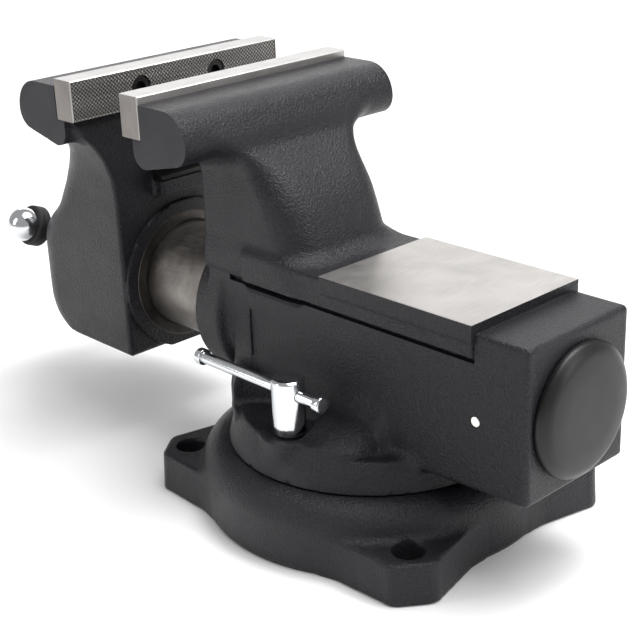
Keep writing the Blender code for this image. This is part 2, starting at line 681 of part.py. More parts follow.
# ---- Sliding jaw -----------------------------------------------------------------------------
def make_sliding_jaw():
    """The moving jaw: a deep rounded body under a jaw that mirrors the fixed one."""
    front = DYNAMIC_FRONT
    sections = (
        (53.5 * MM, 51.5 * MM, front + 52 * MM, 24 * MM),
        (55.5 * MM, DYNAMIC_HALF, front + 34 * MM, 28 * MM),
        (62 * MM, DYNAMIC_HALF, front + 13 * MM, 28 * MM),
        (70 * MM, DYNAMIC_HALF, front + 3 * MM, 28 * MM),
        (80 * MM, DYNAMIC_HALF, front, 28 * MM),
        (120 * MM, DYNAMIC_HALF, front, 28 * MM),
        (132 * MM, DYNAMIC_HALF, front + 8 * MM, 28 * MM),
        (141 * MM, DYNAMIC_HALF, front + 21 * MM, 28 * MM),
        (162 * MM, DYNAMIC_HALF, front + 32 * MM, 28 * MM),
        (176 * MM, 54 * MM, front + 40 * MM, 26 * MM),
        (190 * MM, 59 * MM, front + 47 * MM, 22 * MM),
        (200 * MM, 68 * MM, front + 53 * MM, 17 * MM),
        (207 * MM, 78 * MM, front + 58 * MM, 12 * MM),
        (214 * MM, 81 * MM, front + 60 * MM, 10 * MM),
    )
    rings = [
        rounded_section(half, near, DYNAMIC_REAR, radius, 3 * MM, z)
        for z, half, near, radius in sections
    ]
    jaw = loft("sliding_jaw_casting", rings, "casting")
    half = JAW_WIDTH / 2
    top = prism("sliding_jaw_top", jaw_outline(MOVING_SEAT_Y, -1), -half, half, "yz")
    join(jaw, top, pipe_jaw_shelf("moving", MOVING_PIPE_TIP, -1))
    bore_end = DYNAMIC_REAR - SLIDE_SEAT
    seat = rod("slide_seat", SLIDE_RADIUS + FIT, bore_end, DYNAMIC_REAR + OVERLAP, on_axis(), None, 44)
    reach = (DYNAMIC_FRONT - OVERLAP, DYNAMIC_REAR)
    journal = rod("journal_bore", JOURNAL_RADIUS + FIT, *reach, on_axis(), None, 40)
    reach = (SLIDE_RADIUS - 3 * MM, AXIS_Z)
    pin = rod("slide_pin_bore", 3.3 * MM, *reach, slide_pin_place(), None, 20)
    screws = insert_screw_bores("moving", MOVING_FACE_Y, -1)
    pocket = pipe_jaw_pocket("moving", MOVING_PIPE_TIP, -1)
    cut(jaw, seat, journal, pin, *screws, *pocket)


def slide_pin_place():
    """The pin that holds the tube in the sliding jaw: up from the underside."""
    down = Matrix.Rotation(math.radians(180), 4, "X")
    return Matrix.Translation((0, DYNAMIC_REAR - 38 * MM, AXIS_Z)) @ down


def make_slide():
    tube = [
        (SLIDE_BORE, SLIDE_FRONT),
        (SLIDE_RADIUS - 1 * MM, SLIDE_FRONT),
        (SLIDE_RADIUS, SLIDE_FRONT + 1 * MM),
        (SLIDE_RADIUS, SLIDE_REAR - 1 * MM),
        (SLIDE_RADIUS - 1 * MM, SLIDE_REAR),
        (SLIDE_BORE, SLIDE_REAR),
    ]
    tube = turned("slide_tube", tube, on_axis(), "steel", 44)
    closing = JAW_GAP + 1 * MM
    half = NUT_FOOT_HALF + 0.6 * MM
    low = (-half, NUT_FRONT - closing, AXIS_Z - SLIDE_RADIUS - OVERLAP)
    slot = block("slide_slot", low, (half, SLIDE_REAR + OVERLAP, AXIS_Z - SLIDE_BORE / 2))
    reach = (20 * MM, SLIDE_RADIUS + OVERLAP)
    cut(tube, slot, rod("slide_pin_hole", 3.3 * MM, *reach, slide_pin_place(), None, 20))
    rod("slide_pin", 3 * MM, SLIDE_BORE + 1 * MM, 45 * MM, slide_pin_place(), "steel", 20, 0.4 * MM)


# ---- Spindle and handle ------------------------------------------------------------------------
def make_spindle():
    head = HEAD_REAR - SPINDLE_HEAD_LENGTH
    collar_rear = SLIDE_FRONT + COLLAR_LENGTH
    profile = [
        (0, head),
        (SPINDLE_HEAD_RADIUS - 8 * MM, head),
        (SPINDLE_HEAD_RADIUS - 3 * MM, head + 2 * MM),
        (SPINDLE_HEAD_RADIUS, head + 6.5 * MM),
        (SPINDLE_HEAD_RADIUS, HEAD_REAR - 4 * MM),
        (SPINDLE_HEAD_RADIUS - 3 * MM, HEAD_REAR),
        (JOURNAL_RADIUS, HEAD_REAR),
        (JOURNAL_RADIUS, collar_rear + 1 * MM),
        (SPINDLE_RADIUS - 1 * MM, collar_rear + 1 * MM),
        (SPINDLE_RADIUS, collar_rear + 2 * MM),
        (SPINDLE_RADIUS, SPINDLE_REAR - 3 * MM),
        (SPINDLE_RADIUS - 3 * MM, SPINDLE_REAR),
        (0, SPINDLE_REAR),
    ]
    spindle = turned("spindle", profile, on_axis(), "steel", 36)
    reach = SPINDLE_HEAD_RADIUS + OVERLAP
    handle_bore = rod("handle_bore", HANDLE_RADIUS + FIT, -reach, reach, HANDLE_FRAME, None, 32)
    washer = (HEAD_REAR + FIT, HEAD_REAR + FIT + THRUST_WASHER)
    ring("thrust_washer", JOURNAL_RADIUS + FIT, 20 * MM, *washer, "steel")
    collar = ring("spindle_collar", JOURNAL_RADIUS + FIT, COLLAR_RADIUS, SLIDE_FRONT, collar_rear, "steel")
    pin_y = (SLIDE_FRONT + collar_rear) / 2
    place = Matrix.Translation((0, pin_y, AXIS_Z)) @ HANDLE_FRAME.to_3x3().to_4x4()
    reach = COLLAR_RADIUS + OVERLAP
    pin_bore = rod("collar_pin_bore", 2.3 * MM, -reach, reach, place, None, 16)
    cut(collar, pin_bore)
    cut(spindle, pin_bore, handle_bore)
    end = COLLAR_RADIUS - 0.4 * MM
    rod("collar_pin", 2 * MM, -end, end, place, "steel", 16, 0.3 * MM)


def ring(name, inner, outer, start, end, finish_name):
    edge = 0.6 * MM
    profile = [
        (inner, start),
        (outer - edge, start),
        (outer, start + edge),
        (outer, end - edge),
        (outer - edge, end),
        (inner, end),
    ]
    return turned(name, profile, on_axis(), finish_name, 36)


def make_handle():
    """The bar through the spindle head, a ball and a rubber buffer at each end."""
    depth = 5 * MM
    reach = (-HANDLE_FAR - depth, HANDLE_NEAR + depth)
    rod("handle_bar", HANDLE_RADIUS, *reach, HANDLE_FRAME, "chrome", 32, 0.5 * MM)
    bore = HANDLE_RADIUS + FIT
    for side, centre, out in (("near", HANDLE_NEAR, 1), ("far", -HANDLE_FAR, -1)):
        start = math.degrees(math.acos(-BALL_SEAT / BALL_RADIUS))
        outline = arc((0, 0), BALL_RADIUS, start, 0, 8)
        ball = [(bore, -BALL_SEAT), *((r, h) for h, r in outline)]
        ball[-1] = (0, BALL_RADIUS)
        ball += [(0, depth + FIT), (bore, depth + FIT)]
        ball = [(r, centre + out * h) for r, h in ball]
        turned(f"handle_ball_{side}", ball, HANDLE_FRAME, "chrome", 24)
        inner = centre - out * (BALL_SEAT + FIT)
        outer = inner - out * BUFFER_LENGTH
        low, high = sorted((inner, outer))
        edge = 2.6 * MM
        profile = [(bore, low), (BUFFER_RADIUS - edge, low)]
        profile += arc((BUFFER_RADIUS - edge, low + edge), edge, -90, 0, 2)[1:]
        profile += arc((BUFFER_RADIUS - edge, high - edge), edge, 0, 90, 2)
        profile += [(bore, high)]
        turned(f"handle_buffer_{side}", profile, HANDLE_FRAME, "rubber", 28)


# ---- Swivel lock-downs -----------------------------------------------------------------------
def make_lock(side_name, side):
    """One lock-down: T-bolt, tall nut and the sliding bar through it."""
    place = upright(side * LOCK_X, 0)
    slot_floor = BASE_HEIGHT - TSLOT_DEPTH
    half = 10.5 * MM
    x = side * LOCK_X
    head_low = slot_floor + 2.6 * MM
    low = (x - half, -half, head_low)
    bolt = block(f"lock_bolt_{side_name}", low, (x + half, half, head_low + 8 * MM), "steel")
    top = LOCK_NUT_TOP - 18 * MM
    join(bolt, rod(f"lock_stem_{side_name}", TBOLT_RADIUS, head_low + 4 * MM, top, place, None, 28))
    seat = LOCK_PAD_Z + FIT
    thread = TBOLT_RADIUS + FIT
    profile = [
        (thread, seat),
        (LOCK_NUT_RADIUS - 1 * MM, seat),
        (LOCK_NUT_RADIUS, seat + 1.2 * MM),
        (LOCK_NUT_RADIUS, LOCK_NUT_TOP - 1.5 * MM),
        (LOCK_NUT_RADIUS - 1.5 * MM, LOCK_NUT_TOP - 0.4 * MM),
        (0, LOCK_NUT_TOP),
        (0, top + 1 * MM),
        (thread, top + 1 * MM),
    ]
    nut = turned(f"lock_nut_{side_name}", profile, place, "chrome", 32)
    bar_place = Matrix.Translation((x, LOCK_BAR_OFFSET, LOCK_BAR_Z)) @ ALONG_Y
    reach = 80 * MM
    cut(nut, rod(f"bar_bore_{side_name}", LOCK_BAR_RADIUS + FIT, -reach, reach, bar_place, None, 24))
    end = LOCK_BAR_LENGTH / 2
    knob = 5 * MM
    knob_length = 5 * MM
    bar = [
        (0, -end),
        (knob - 0.8 * MM, -end),
        (knob, -end + 0.8 * MM),
        (knob, -end + knob_length - 0.8 * MM),
        (knob - 0.8 * MM, -end + knob_length),
        (LOCK_BAR_RADIUS, -end + knob_length),
        (LOCK_BAR_RADIUS, end - 1.5 * MM),
        (0, end - 1.5 * MM),
    ]
    turned(f"lock_bar_{side_name}", bar, bar_place, "chrome", 20)
    inner = LOCK_BAR_RADIUS + FIT
    cap = [
        (inner, end - knob_length),
        (knob - 0.8 * MM, end - knob_length),
        (knob, end - knob_length + 0.8 * MM),
        (knob, end - 0.8 * MM),
        (knob - 0.8 * MM, end),
        (0, end),
        (0, end - 1.2 * MM),
        (inner, end - 1.2 * MM),
    ]
    turned(f"lock_bar_cap_{side_name}", cap, bar_place, "chrome", 20)


# ---- The vise ----------------------------------------------------------------------------------
clear_scene()
FINISHES = {
    "casting": material("black_casting", (0.030, 0.030, 0.034), 0.45, 0.0),
    "cap": material("black_cap", (0.025, 0.025, 0.028), 0.35, 0.0),
    "ground_steel": material("ground_steel", (0.62, 0.60, 0.58), 0.32, 1.0),
    "steel": material("machined_steel", (0.45, 0.43, 0.41), 0.35, 1.0),
    "iron": material("nut_iron", (0.20, 0.20, 0.20), 0.5, 1.0),
    "black_steel": material("black_oxide_steel", (0.05, 0.05, 0.05), 0.4, 1.0),
    "chrome": material("chrome", (0.85, 0.86, 0.88), 0.08, 1.0),
    "rubber": material("rubber", (0.03, 0.03, 0.03), 0.7, 0.0),
}
make_base()
make_body()
make_insert("fixed", FIXED_FACE_Y, 1)
make_pipe_jaw("fixed", FIXED_PIPE_TIP, 1)
make_rear_cap()
make_spindle_nut()
make_sliding_jaw()
make_insert("moving", MOVING_FACE_Y, -1)
make_pipe_jaw("moving", MOVING_PIPE_TIP, -1)
make_slide()
make_spindle()
make_handle()
for lock_name, lock_side in (("right", 1), ("left", -1)):
    make_lock(lock_name, lock_side)
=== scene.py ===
# %% [markdown]
# # Bench vise: the finished look
#
# The CAD model already holds every piece of the vise in its true place. This notebook gives it
# its looks: black cast iron with a hammered powder coat, bare machined steel, chrome and rubber.
# Everything is in metres in the file, but vises are measured in millimetres, so the shapes below
# are worked out in millimetres and scaled once, when a mesh is made.

# %% Load the frame
import functools

import bmesh
import bpy
import numpy as np
from mathutils import Matrix, Vector


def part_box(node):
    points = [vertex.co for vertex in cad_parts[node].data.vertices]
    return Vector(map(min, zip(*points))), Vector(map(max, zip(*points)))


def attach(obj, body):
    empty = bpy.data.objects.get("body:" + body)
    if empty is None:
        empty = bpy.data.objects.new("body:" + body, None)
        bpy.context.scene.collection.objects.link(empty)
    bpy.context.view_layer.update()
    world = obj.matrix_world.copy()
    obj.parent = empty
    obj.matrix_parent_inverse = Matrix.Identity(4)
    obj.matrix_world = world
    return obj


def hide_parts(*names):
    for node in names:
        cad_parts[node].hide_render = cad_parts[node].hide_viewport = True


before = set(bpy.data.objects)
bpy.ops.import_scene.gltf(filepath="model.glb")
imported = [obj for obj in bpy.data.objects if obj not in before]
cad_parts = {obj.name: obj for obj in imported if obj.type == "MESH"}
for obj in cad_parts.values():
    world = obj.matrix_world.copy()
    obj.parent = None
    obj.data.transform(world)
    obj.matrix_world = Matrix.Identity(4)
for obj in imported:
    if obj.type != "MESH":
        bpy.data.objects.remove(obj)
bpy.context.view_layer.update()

MM = 0.001

# %% [markdown]
# A finished piece is a mesh at the origin with its place in its points. One helper makes it,
# says which body it moves with and which plain CAD solids it stands for.

# %% Piece helper
def piece(name, points, faces, body, material, stands_for=(), crease=38.0):
    """A mesh from points in mm and rows of indices; edges sharper than crease stay sharp."""
    mesh = bpy.data.meshes.new(name)
    mesh.from_pydata((np.asarray(points, float) * MM).tolist(), [], [list(f) for f in faces])
    mesh.validate()
    mesh.materials.append(material)
    mesh.shade_smooth()
    mesh.set_sharp_from_angle(angle=np.radians(crease))
    made = bpy.data.objects.new(name, mesh)
    bpy.context.scene.collection.objects.link(made)
    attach(made, body)
    if stands_for:
        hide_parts(*stands_for)
    return made


def slotted(made, slot):
    """Prints a finished piece's face count with a slot label, and returns the piece."""
    print(f"{made.name}: {len(made.data.polygons)} faces, slot {slot}")
    return made


# %% [markdown]
# ## Where the main faces lie
#
# These are the castings' own sizes, in millimetres, seen from the swivel axis: Y runs from the
# handle (negative) to the anvil end (positive), X runs along the jaws. What depends on a CAD
# solid is read from its box, so that the two models can't drift apart.

# %% Main sizes
AXIS_Z = 100.5  # height of the slide's axis
JAW_HALF = 82.5  # half the jaws' width
SIDE = 42.0  # half the housing's width
ANVIL_SIDE, ANVIL_TOP = 44.4, 151.0
LEDGE_Z = 133.2  # top of the groove under the anvil
FLOOR_Z = 53.5  # underside of the housing and of the sliding jaw
REAR_Y = 147.3
LOCK_X = 68.5  # from the swivel axis to each lock nut
SLIDE_BORE, CAP_BORE, PIVOT_BORE = 35.3, 30.3, 16.3
SCREW_X, SCREW_Z, SCREW_BORE = 30.0, 231.4, 4.3  # the screws that hold the inserts
PIPE_SCREW_Z = 182.5
PIPE_HALF, PIPE_LOW, PIPE_HIGH = 22.3, 168.7, 196.3  # the seat of a pipe jaw
STEP_HALF, STEP_LOW, STEP_HIGH = 22.0, 158.5, 170.0  # the step under it
PIN_Y, PIN_Z = 113.2, 97.0  # the cross pin of the rear cap
seat_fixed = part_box("fixed_jaw_insert")[1][1] / MM + 0.3
seat_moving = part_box("moving_jaw_insert")[0][1] / MM - 0.3
moving_rear = seat_moving + 10.6
print("seats at y =", round(seat_fixed, 2), round(seat_moving, 2))

# %% [markdown]
# ## Finishes
#
# A finish could be one colour and one roughness, but real ones vary over a few millimetres, and
# that is what the eye reads as paint or steel. Two effects are used by many of the materials, so
# they are node groups. A few short helpers make the nodes easier to read.

# %% Node helpers
def group(name, inputs, outputs):
    """An empty shader node group with float, colour or vector sockets."""
    kinds = {"F": "NodeSocketFloat", "C": "NodeSocketColor", "V": "NodeSocketVector"}
    tree = bpy.data.node_groups.new(name, "ShaderNodeTree")
    for label, kind, default in inputs:
        socket = tree.interface.new_socket(label, in_out="INPUT", socket_type=kinds[kind])
        if default is not None:
            socket.default_value = default
    for label, kind in outputs:
        tree.interface.new_socket(label, in_out="OUTPUT", socket_type=kinds[kind])
    return tree, tree.nodes.new("NodeGroupInput"), tree.nodes.new("NodeGroupOutput")


def node(tree, kind, **settings):
    """A node whose settings, constant inputs and incoming links are given by name."""
    made = tree.nodes.new(kind)
    for key, value in settings.items():
        label = key.replace("_", " ")
        if hasattr(made, key):
            setattr(made, key, value)
        elif isinstance(value, bpy.types.NodeSocket):
            tree.links.new(value, made.inputs[label])
        else:
            made.inputs[label].default_value = value
    return made


def maths(tree, operation, a, b, clamp=False):
    """One sum on two numbers or sockets."""
    made = tree.nodes.new("ShaderNodeMath")
    made.operation = operation
    made.use_clamp = clamp
    for socket, value in zip(made.inputs, (a, b)):
        if isinstance(value, (int, float)):
            socket.default_value = value
        else:
            tree.links.new(value, socket)
    return made.outputs[0]


def blend(tree, factor, a, b):
    """Colour a where factor is 0, colour b where it is 1."""
    made = tree.nodes.new("ShaderNodeMix")
    made.data_type = "RGBA"
    tree.links.new(factor, made.inputs["Factor"])
    for socket, value in ((made.inputs["A"], a), (made.inputs["B"], b)):
        if isinstance(value, tuple):
            socket.default_value = (*value, 1)
        else:
            tree.links.new(value, socket)
    return made.outputs["Result"]


# %% [markdown]
# The powder coat on the castings has an orange-peel surface: soft bumps one to two millimetres
# across that break up every highlight. Object coordinates are in metres, so a noise scale of 700
# gives bumps of about a millimetre and a half. An image of the grain would need unwrapping;
# noise in space needs none, and has no seams.

# %% Powder coat group
def powder_coat():
    """Orange peel: two noises of different size give the height; a third varies the gloss."""
    tree, inside, outside = group(
        "powder coat",
        [("Grain", "F", 700.0), ("Depth", "F", 1.0)],
        [("Height", "F"), ("Gloss", "F"), ("Tint", "F")],
    )
    place = node(tree, "ShaderNodeTexCoord").outputs["Object"]
    grain, noise = inside.outputs["Grain"], "ShaderNodeTexNoise"
    finer = maths(tree, "MULTIPLY", grain, 2.6)
    peel = node(tree, noise, Vector=place, Scale=grain, Detail=2.0, Roughness=0.45, Distortion=0.4)
    fine = node(tree, noise, Vector=place, Scale=finer, Detail=3.0, Roughness=0.6)
    broad = node(tree, noise, Vector=place, Scale=38.0, Detail=3.0, Roughness=0.55)
    height = peel.outputs["Fac"]
    for texture, share in ((fine, 0.35), (broad, 0.6)):
        height = maths(tree, "ADD", height, maths(tree, "MULTIPLY", texture.outputs["Fac"], share))
    height = maths(tree, "MULTIPLY", height, inside.outputs["Depth"])
    tree.links.new(height, outside.inputs["Height"])
    tree.links.new(broad.outputs["Fac"], outside.inputs["Gloss"])
    tree.links.new(peel.outputs["Fac"], outside.inputs["Tint"])
    return tree


# %% [markdown]
# Bare steel keeps the marks of the tool that cut it. They are fine lines along the cut, so the
# noise is squeezed across them, with a scale for each axis. Oil, hands and a little oxide leave
# broader blotches on top.

# %% Machined steel group
def machined():
    """Tool marks: noise squeezed hard along one axis, with blotches of handling and light oxide."""
    tree, inside, outside = group(
        "machined steel",
        [("Stretch", "V", (60.0, 1500.0, 1500.0)), ("Stain", "F", 40.0)],
        [("Lines", "F"), ("Stains", "F")],
    )
    place = node(tree, "ShaderNodeTexCoord").outputs["Object"]
    noise, stain = "ShaderNodeTexNoise", inside.outputs["Stain"]
    squeeze = node(tree, "ShaderNodeMapping", Vector=place, Scale=inside.outputs["Stretch"])
    along = squeeze.outputs["Vector"]
    lines = node(tree, noise, Vector=along, Scale=1.0, Detail=4.0, Roughness=0.65)
    stains = node(tree, noise, Vector=place, Scale=stain, Detail=5.0, Roughness=0.6, Distortion=0.6)
    tree.links.new(lines.outputs["Fac"], outside.inputs["Lines"])
    tree.links.new(stains.outputs["Fac"], outside.inputs["Stains"])
    return tree


COAT = powder_coat()
TOOLED = machined()
print("node groups:", [g.name for g in bpy.data.node_groups])

# %% [markdown]
# Three makers turn those groups into finishes: a coat, bare steel, and steel cut with teeth. The
# shader itself stays in each material, and whatever is the same all over is set on the shader.

# %% Material makers
def blank(name, **constants):
    """A material with one shader, whose constants are set by name."""
    made = bpy.data.materials.new(name)
    made.use_nodes = True
    shader = made.node_tree.nodes["Principled BSDF"]
    for key, value in constants.items():
        shader.inputs[key.replace("_", " ")].default_value = value
    return made, made.node_tree, shader


def bump(tree, shader, height, strength, distance):
    made = node(tree, "ShaderNodeBump", Height=height, Strength=strength, Distance=distance)
    tree.links.new(made.outputs["Normal"], shader.inputs["Normal"])


def ranged(tree, value, low, high):
    """Maps 0.3..0.7, where noise mostly lies, to low..high."""
    usual = {"From_Min": 0.3, "From_Max": 0.7}
    made = node(tree, "ShaderNodeMapRange", Value=value, To_Min=low, To_Max=high, **usual)
    return made.outputs["Result"]


def coated(name, dark, light, grain, depth, rough, distance=0.0005):
    """Paint, plastic or rubber: two near colours, a grain size, its depth and a roughness."""
    made, tree, shader = blank(name, Specular_IOR_Level=0.32)
    coat = node(tree, "ShaderNodeGroup", node_tree=COAT, Grain=grain, Depth=depth)
    tint = ranged(tree, coat.outputs["Tint"], 0.0, 1.0)
    tree.links.new(blend(tree, tint, dark, light), shader.inputs["Base Color"])
    gloss = ranged(tree, coat.outputs["Gloss"], rough - 0.05, rough + 0.06)
    tree.links.new(gloss, shader.inputs["Roughness"])
    bump(tree, shader, coat.outputs["Height"], 0.9, distance)
    return made


def bare_steel(name, stretch, clean, stained, rough, lines=0.35, stain=40.0):
    """Steel with tool marks: their scale on each axis, two colours, a roughness, their strength."""
    made, tree, shader = blank(name, Metallic=1.0)
    tooled = node(tree, "ShaderNodeGroup", node_tree=TOOLED, Stretch=stretch, Stain=stain)
    mask = ranged(tree, tooled.outputs["Stains"], 0.0, 1.0)
    tree.links.new(blend(tree, mask, clean, stained), shader.inputs["Base Color"])
    streak = ranged(tree, tooled.outputs["Lines"], -0.07, 0.07)
    tree.links.new(maths(tree, "ADD", streak, rough), shader.inputs["Roughness"])
    bump(tree, shader, tooled.outputs["Lines"], lines, 0.00012)
    return made


def toothed_steel(name, peak, valley_shade, pitch, rough):
    """Serrated steel: the same two triangle waves as the teeth put painted shade in the valleys
    between them.
    """
    made, tree, shader = blank(name, Metallic=1.0, Roughness=rough)
    place = node(tree, "ShaderNodeTexCoord").outputs["Object"]
    axes = node(tree, "ShaderNodeSeparateXYZ", Vector=place)
    x, z = axes.outputs["X"], axes.outputs["Z"]
    waves = []
    for operation in ("ADD", "SUBTRACT"):
        slanted = maths(tree, operation, x, z)
        waves.append(maths(tree, "PINGPONG", slanted, pitch * MM / 2))
    height = maths(tree, "MULTIPLY", maths(tree, "ADD", *waves), 1 / (pitch * MM))
    mask = maths(tree, "POWER", height, 1.6, clamp=True)
    # Painted shade: the valleys between the teeth take the dark colour, the peaks the steel's own.
    tree.links.new(blend(tree, mask, valley_shade, peak), shader.inputs["Base Color"])
    return made


# %% [markdown]
# The castings are near black with a slight violet cast. The jaws' ends are painted thinner over
# a dressed face, the cap is satin plastic. The steels differ in how they were cut: milled,
# ground, sawn or turned, so their lines run different ways, and in how much oxide they carry.

# %% The vise's own materials
BLACK, VIOLET_BLACK = (0.005, 0.0044, 0.0062), (0.0145, 0.013, 0.0172)
PAINT = coated("hammered black coat", BLACK, VIOLET_BLACK, 760.0, 1.0, 0.35, 0.0008)
SMOOTH_PAINT = coated(
    "smooth black coat", (0.013, 0.0125, 0.0165), (0.018, 0.0175, 0.022), 900.0, 0.25, 0.5
)
CAP_PLASTIC = coated(
    "satin black cap", (0.0075, 0.0075, 0.008), (0.0095, 0.0095, 0.010), 1500.0, 0.2, 0.36
)
RUBBER = coated("buffer rubber", (0.008, 0.008, 0.0085), (0.016, 0.0155, 0.0155), 1400.0, 0.7, 0.6)
STEELS = {
    "milled anvil pad": ((60, 900, 900), (0.50, 0.48, 0.465), (0.37, 0.355, 0.34), 0.40, 0.2, 22.0),
    "ground jaw steel": ((50, 1500, 1500), (0.47, 0.46, 0.45), (0.37, 0.36, 0.35), 0.36),
    "sawn jaw end": ((900, 900, 120), (0.27, 0.25, 0.235), (0.19, 0.175, 0.165), 0.48),
    "turned slide steel": (
        (900, 120, 900), (0.30, 0.28, 0.26), (0.175, 0.16, 0.148), 0.42, 0.3, 55.0
    ),
    "machined ring steel": (
        (500, 900, 500), (0.11, 0.10, 0.094), (0.055, 0.05, 0.047), 0.42, 0.3, 60.0
    ),
    "turned steel": ((400, 1500, 400), (0.50, 0.49, 0.47), (0.38, 0.37, 0.35), 0.35),
    "bright pin": ((900, 900, 900), (0.80, 0.79, 0.77), (0.70, 0.69, 0.67), 0.28),
    "black oxide": ((700, 700, 700), (0.035, 0.035, 0.037), (0.06, 0.058, 0.056), 0.42),
    "machined nut iron": ((600, 600, 600), (0.22, 0.21, 0.20), (0.13, 0.125, 0.12), 0.5),
    "bright chrome": ((500, 500, 500), (0.72, 0.735, 0.75), (0.66, 0.68, 0.70), 0.13, 0.02, 25.0),
}
made_steels = [bare_steel(name, *values) for name, values in STEELS.items()]
PAD_STEEL, INSERT_STEEL, SAWN_STEEL, TUBE_STEEL, RING_STEEL = made_steels[:5]
PLAIN_STEEL, PIN_STEEL, OXIDE, NUT_IRON, CHROME = made_steels[5:]
TOOTH_PITCH = 2.6
# The second colour is painted shade for the valleys between the teeth.
TOOTHED_STEEL = toothed_steel(
    "serrated jaw steel", (0.40, 0.385, 0.37), (0.035, 0.033, 0.031), TOOTH_PITCH, 0.38
)
print("materials:", len(bpy.data.materials))

# %% [markdown]
# ## Castings as fields
#
# A sand casting has no hard inside corners: every wall runs into the next through a fillet. The
# easiest way to get that everywhere is to describe the casting as a field that says how far each
# point is from the surface, join plain shapes with a rounded minimum, and then skin the place
# where the field is zero. A grid surface alone can't do this, because a vise body branches.
# The skin is dual contouring: each grid cell that the surface crosses gets one point, put where
# the tangent planes at its crossings meet, so flat faces stay flat and edges stay crisp.

# %% Rounded joins
def joined(a, b, fillet):
    """Union with a fillet r: max(r, min(a, b)) - length of (r - a, r - b), where positive."""
    u = np.maximum(fillet - a, 0)
    v = np.maximum(fillet - b, 0)
    return np.maximum(fillet, np.minimum(a, b)) - np.sqrt(u * u + v * v)


def common(a, b, edge):
    """Intersection with its edges rounded: the negative of the join of the negatives."""
    return -joined(-a, -b, edge)


def carved(a, b, edge):
    """a without b, with the new edges rounded."""
    return common(a, -b, edge)


def all_of(*shapes):
    """Plain union, with no fillet: the nearest of all."""
    return functools.reduce(np.minimum, shapes)


# %% [markdown]
# The plain shapes are the ones a pattern maker would start from: a slab, a brick, a column whose
# corners differ, round bars, and any closed outline. A table of sizes with height is made a
# smooth curve by blurring it, which is what a hand with a file does to a wooden pattern.

# %% Plain shapes
def slab(value, low, high):
    """Distance outside the band from low to high: |value - middle| - half its width."""
    return np.abs(value - (low + high) / 2) - (high - low) / 2


def brick(x, y, z, low, high, edge):
    """Rounded box: length of the positive parts of the three slab distances, shrunk by edge."""
    a, b, c = (slab(v, lo + edge, hi - edge) for v, lo, hi in zip((x, y, z), low, high))
    outside = np.sqrt(np.maximum(a, 0) ** 2 + np.maximum(b, 0) ** 2 + np.maximum(c, 0) ** 2)
    return outside + np.minimum(np.maximum(a, np.maximum(b, c)), 0) - edge


def column(x, y, half, front, rear, front_corner, rear_corner):
    """Plan distance to a rounded rectangle whose front and rear corners differ."""
    middle = (front + rear) / 2
    corner = np.where(y < middle, front_corner, rear_corner)
    a = np.abs(x) - half + corner
    b = np.abs(y - middle) - (rear - front) / 2 + corner
    outside = np.sqrt(np.maximum(a, 0) ** 2 + np.maximum(b, 0) ** 2)
    return outside + np.minimum(np.maximum(a, b), 0) - corner


def round_bar(a, b, radius, at=(0.0, 0.0)):
    """Distance to an endless round bar, from the two coordinates across it."""
    return np.sqrt((a - at[0]) ** 2 + (b - at[1]) ** 2) - radius


def bar_y(x, y, z, radius, front, rear, edge):
    """Round bar on the slide's axis: common part of the endless bar and a slab."""
    return common(round_bar(x, z, radius, (0.0, AXIS_Z)), slab(y, front, rear), edge)


def post(x, y, z, radius, low, high, edge, at):
    """Upright round bar."""
    return common(round_bar(x, y, radius, at), slab(z, low, high), edge)


def eased(keys, values, spread=4.0):
    """A smooth curve through a table: linear steps blurred by a bell of that width."""
    fine = np.arange(min(keys) - 30, max(keys) + 30, 0.5)
    bell = np.exp(-0.5 * (np.arange(-40, 41) * 0.5 / spread) ** 2)
    rough = np.interp(fine, keys, values)
    soft = np.convolve(np.pad(rough, 40, mode="edge"), bell / bell.sum(), mode="valid")
    return lambda v: np.interp(v, fine, soft)


def outline_distance(a, b, corners):
    """Signed distance to a closed outline: nearest of its edges, negative inside by crossings."""
    best = np.full(np.broadcast(a, b).shape, 1e9)
    inside = np.zeros(best.shape, bool)
    for (ax, ay), (bx, by) in zip(corners, np.roll(corners, -1, axis=0)):
        ex, ey = bx - ax, by - ay
        along = np.clip(((a - ax) * ex + (b - ay) * ey) / (ex * ex + ey * ey), 0, 1)
        best = np.minimum(best, (a - ax - along * ex) ** 2 + (b - ay - along * ey) ** 2)
        crosses = ((ay > b) != (by > b)) & (a < ex * (b - ay) / (ey if ey else 1e-9) + ax)
        inside ^= crosses
    return np.where(inside, -1, 1) * np.sqrt(best)


# %% [markdown]
# The skin is made in whole arrays. First every grid edge that the surface crosses is found, and
# the crossing is narrowed down in five steps. Then each cell round a crossing gets the point
# that lies nearest to all the tangent planes there, from a small least-squares sum, and each
# crossed edge becomes one quad between its four cells.

# %% Dual contouring
def slope_of(field, p, step=0.04):
    """Unit gradient of the field from four samples at the corners of a small tetrahedron."""
    total = np.zeros_like(p)
    for corner in np.array([(1, 1, 1), (1, -1, -1), (-1, 1, -1), (-1, -1, 1)], float):
        q = p + corner * step
        total += corner * field(q[:, 0], q[:, 1], q[:, 2])[:, None]
    return total / np.maximum(np.linalg.norm(total, axis=1, keepdims=True), 1e-12)


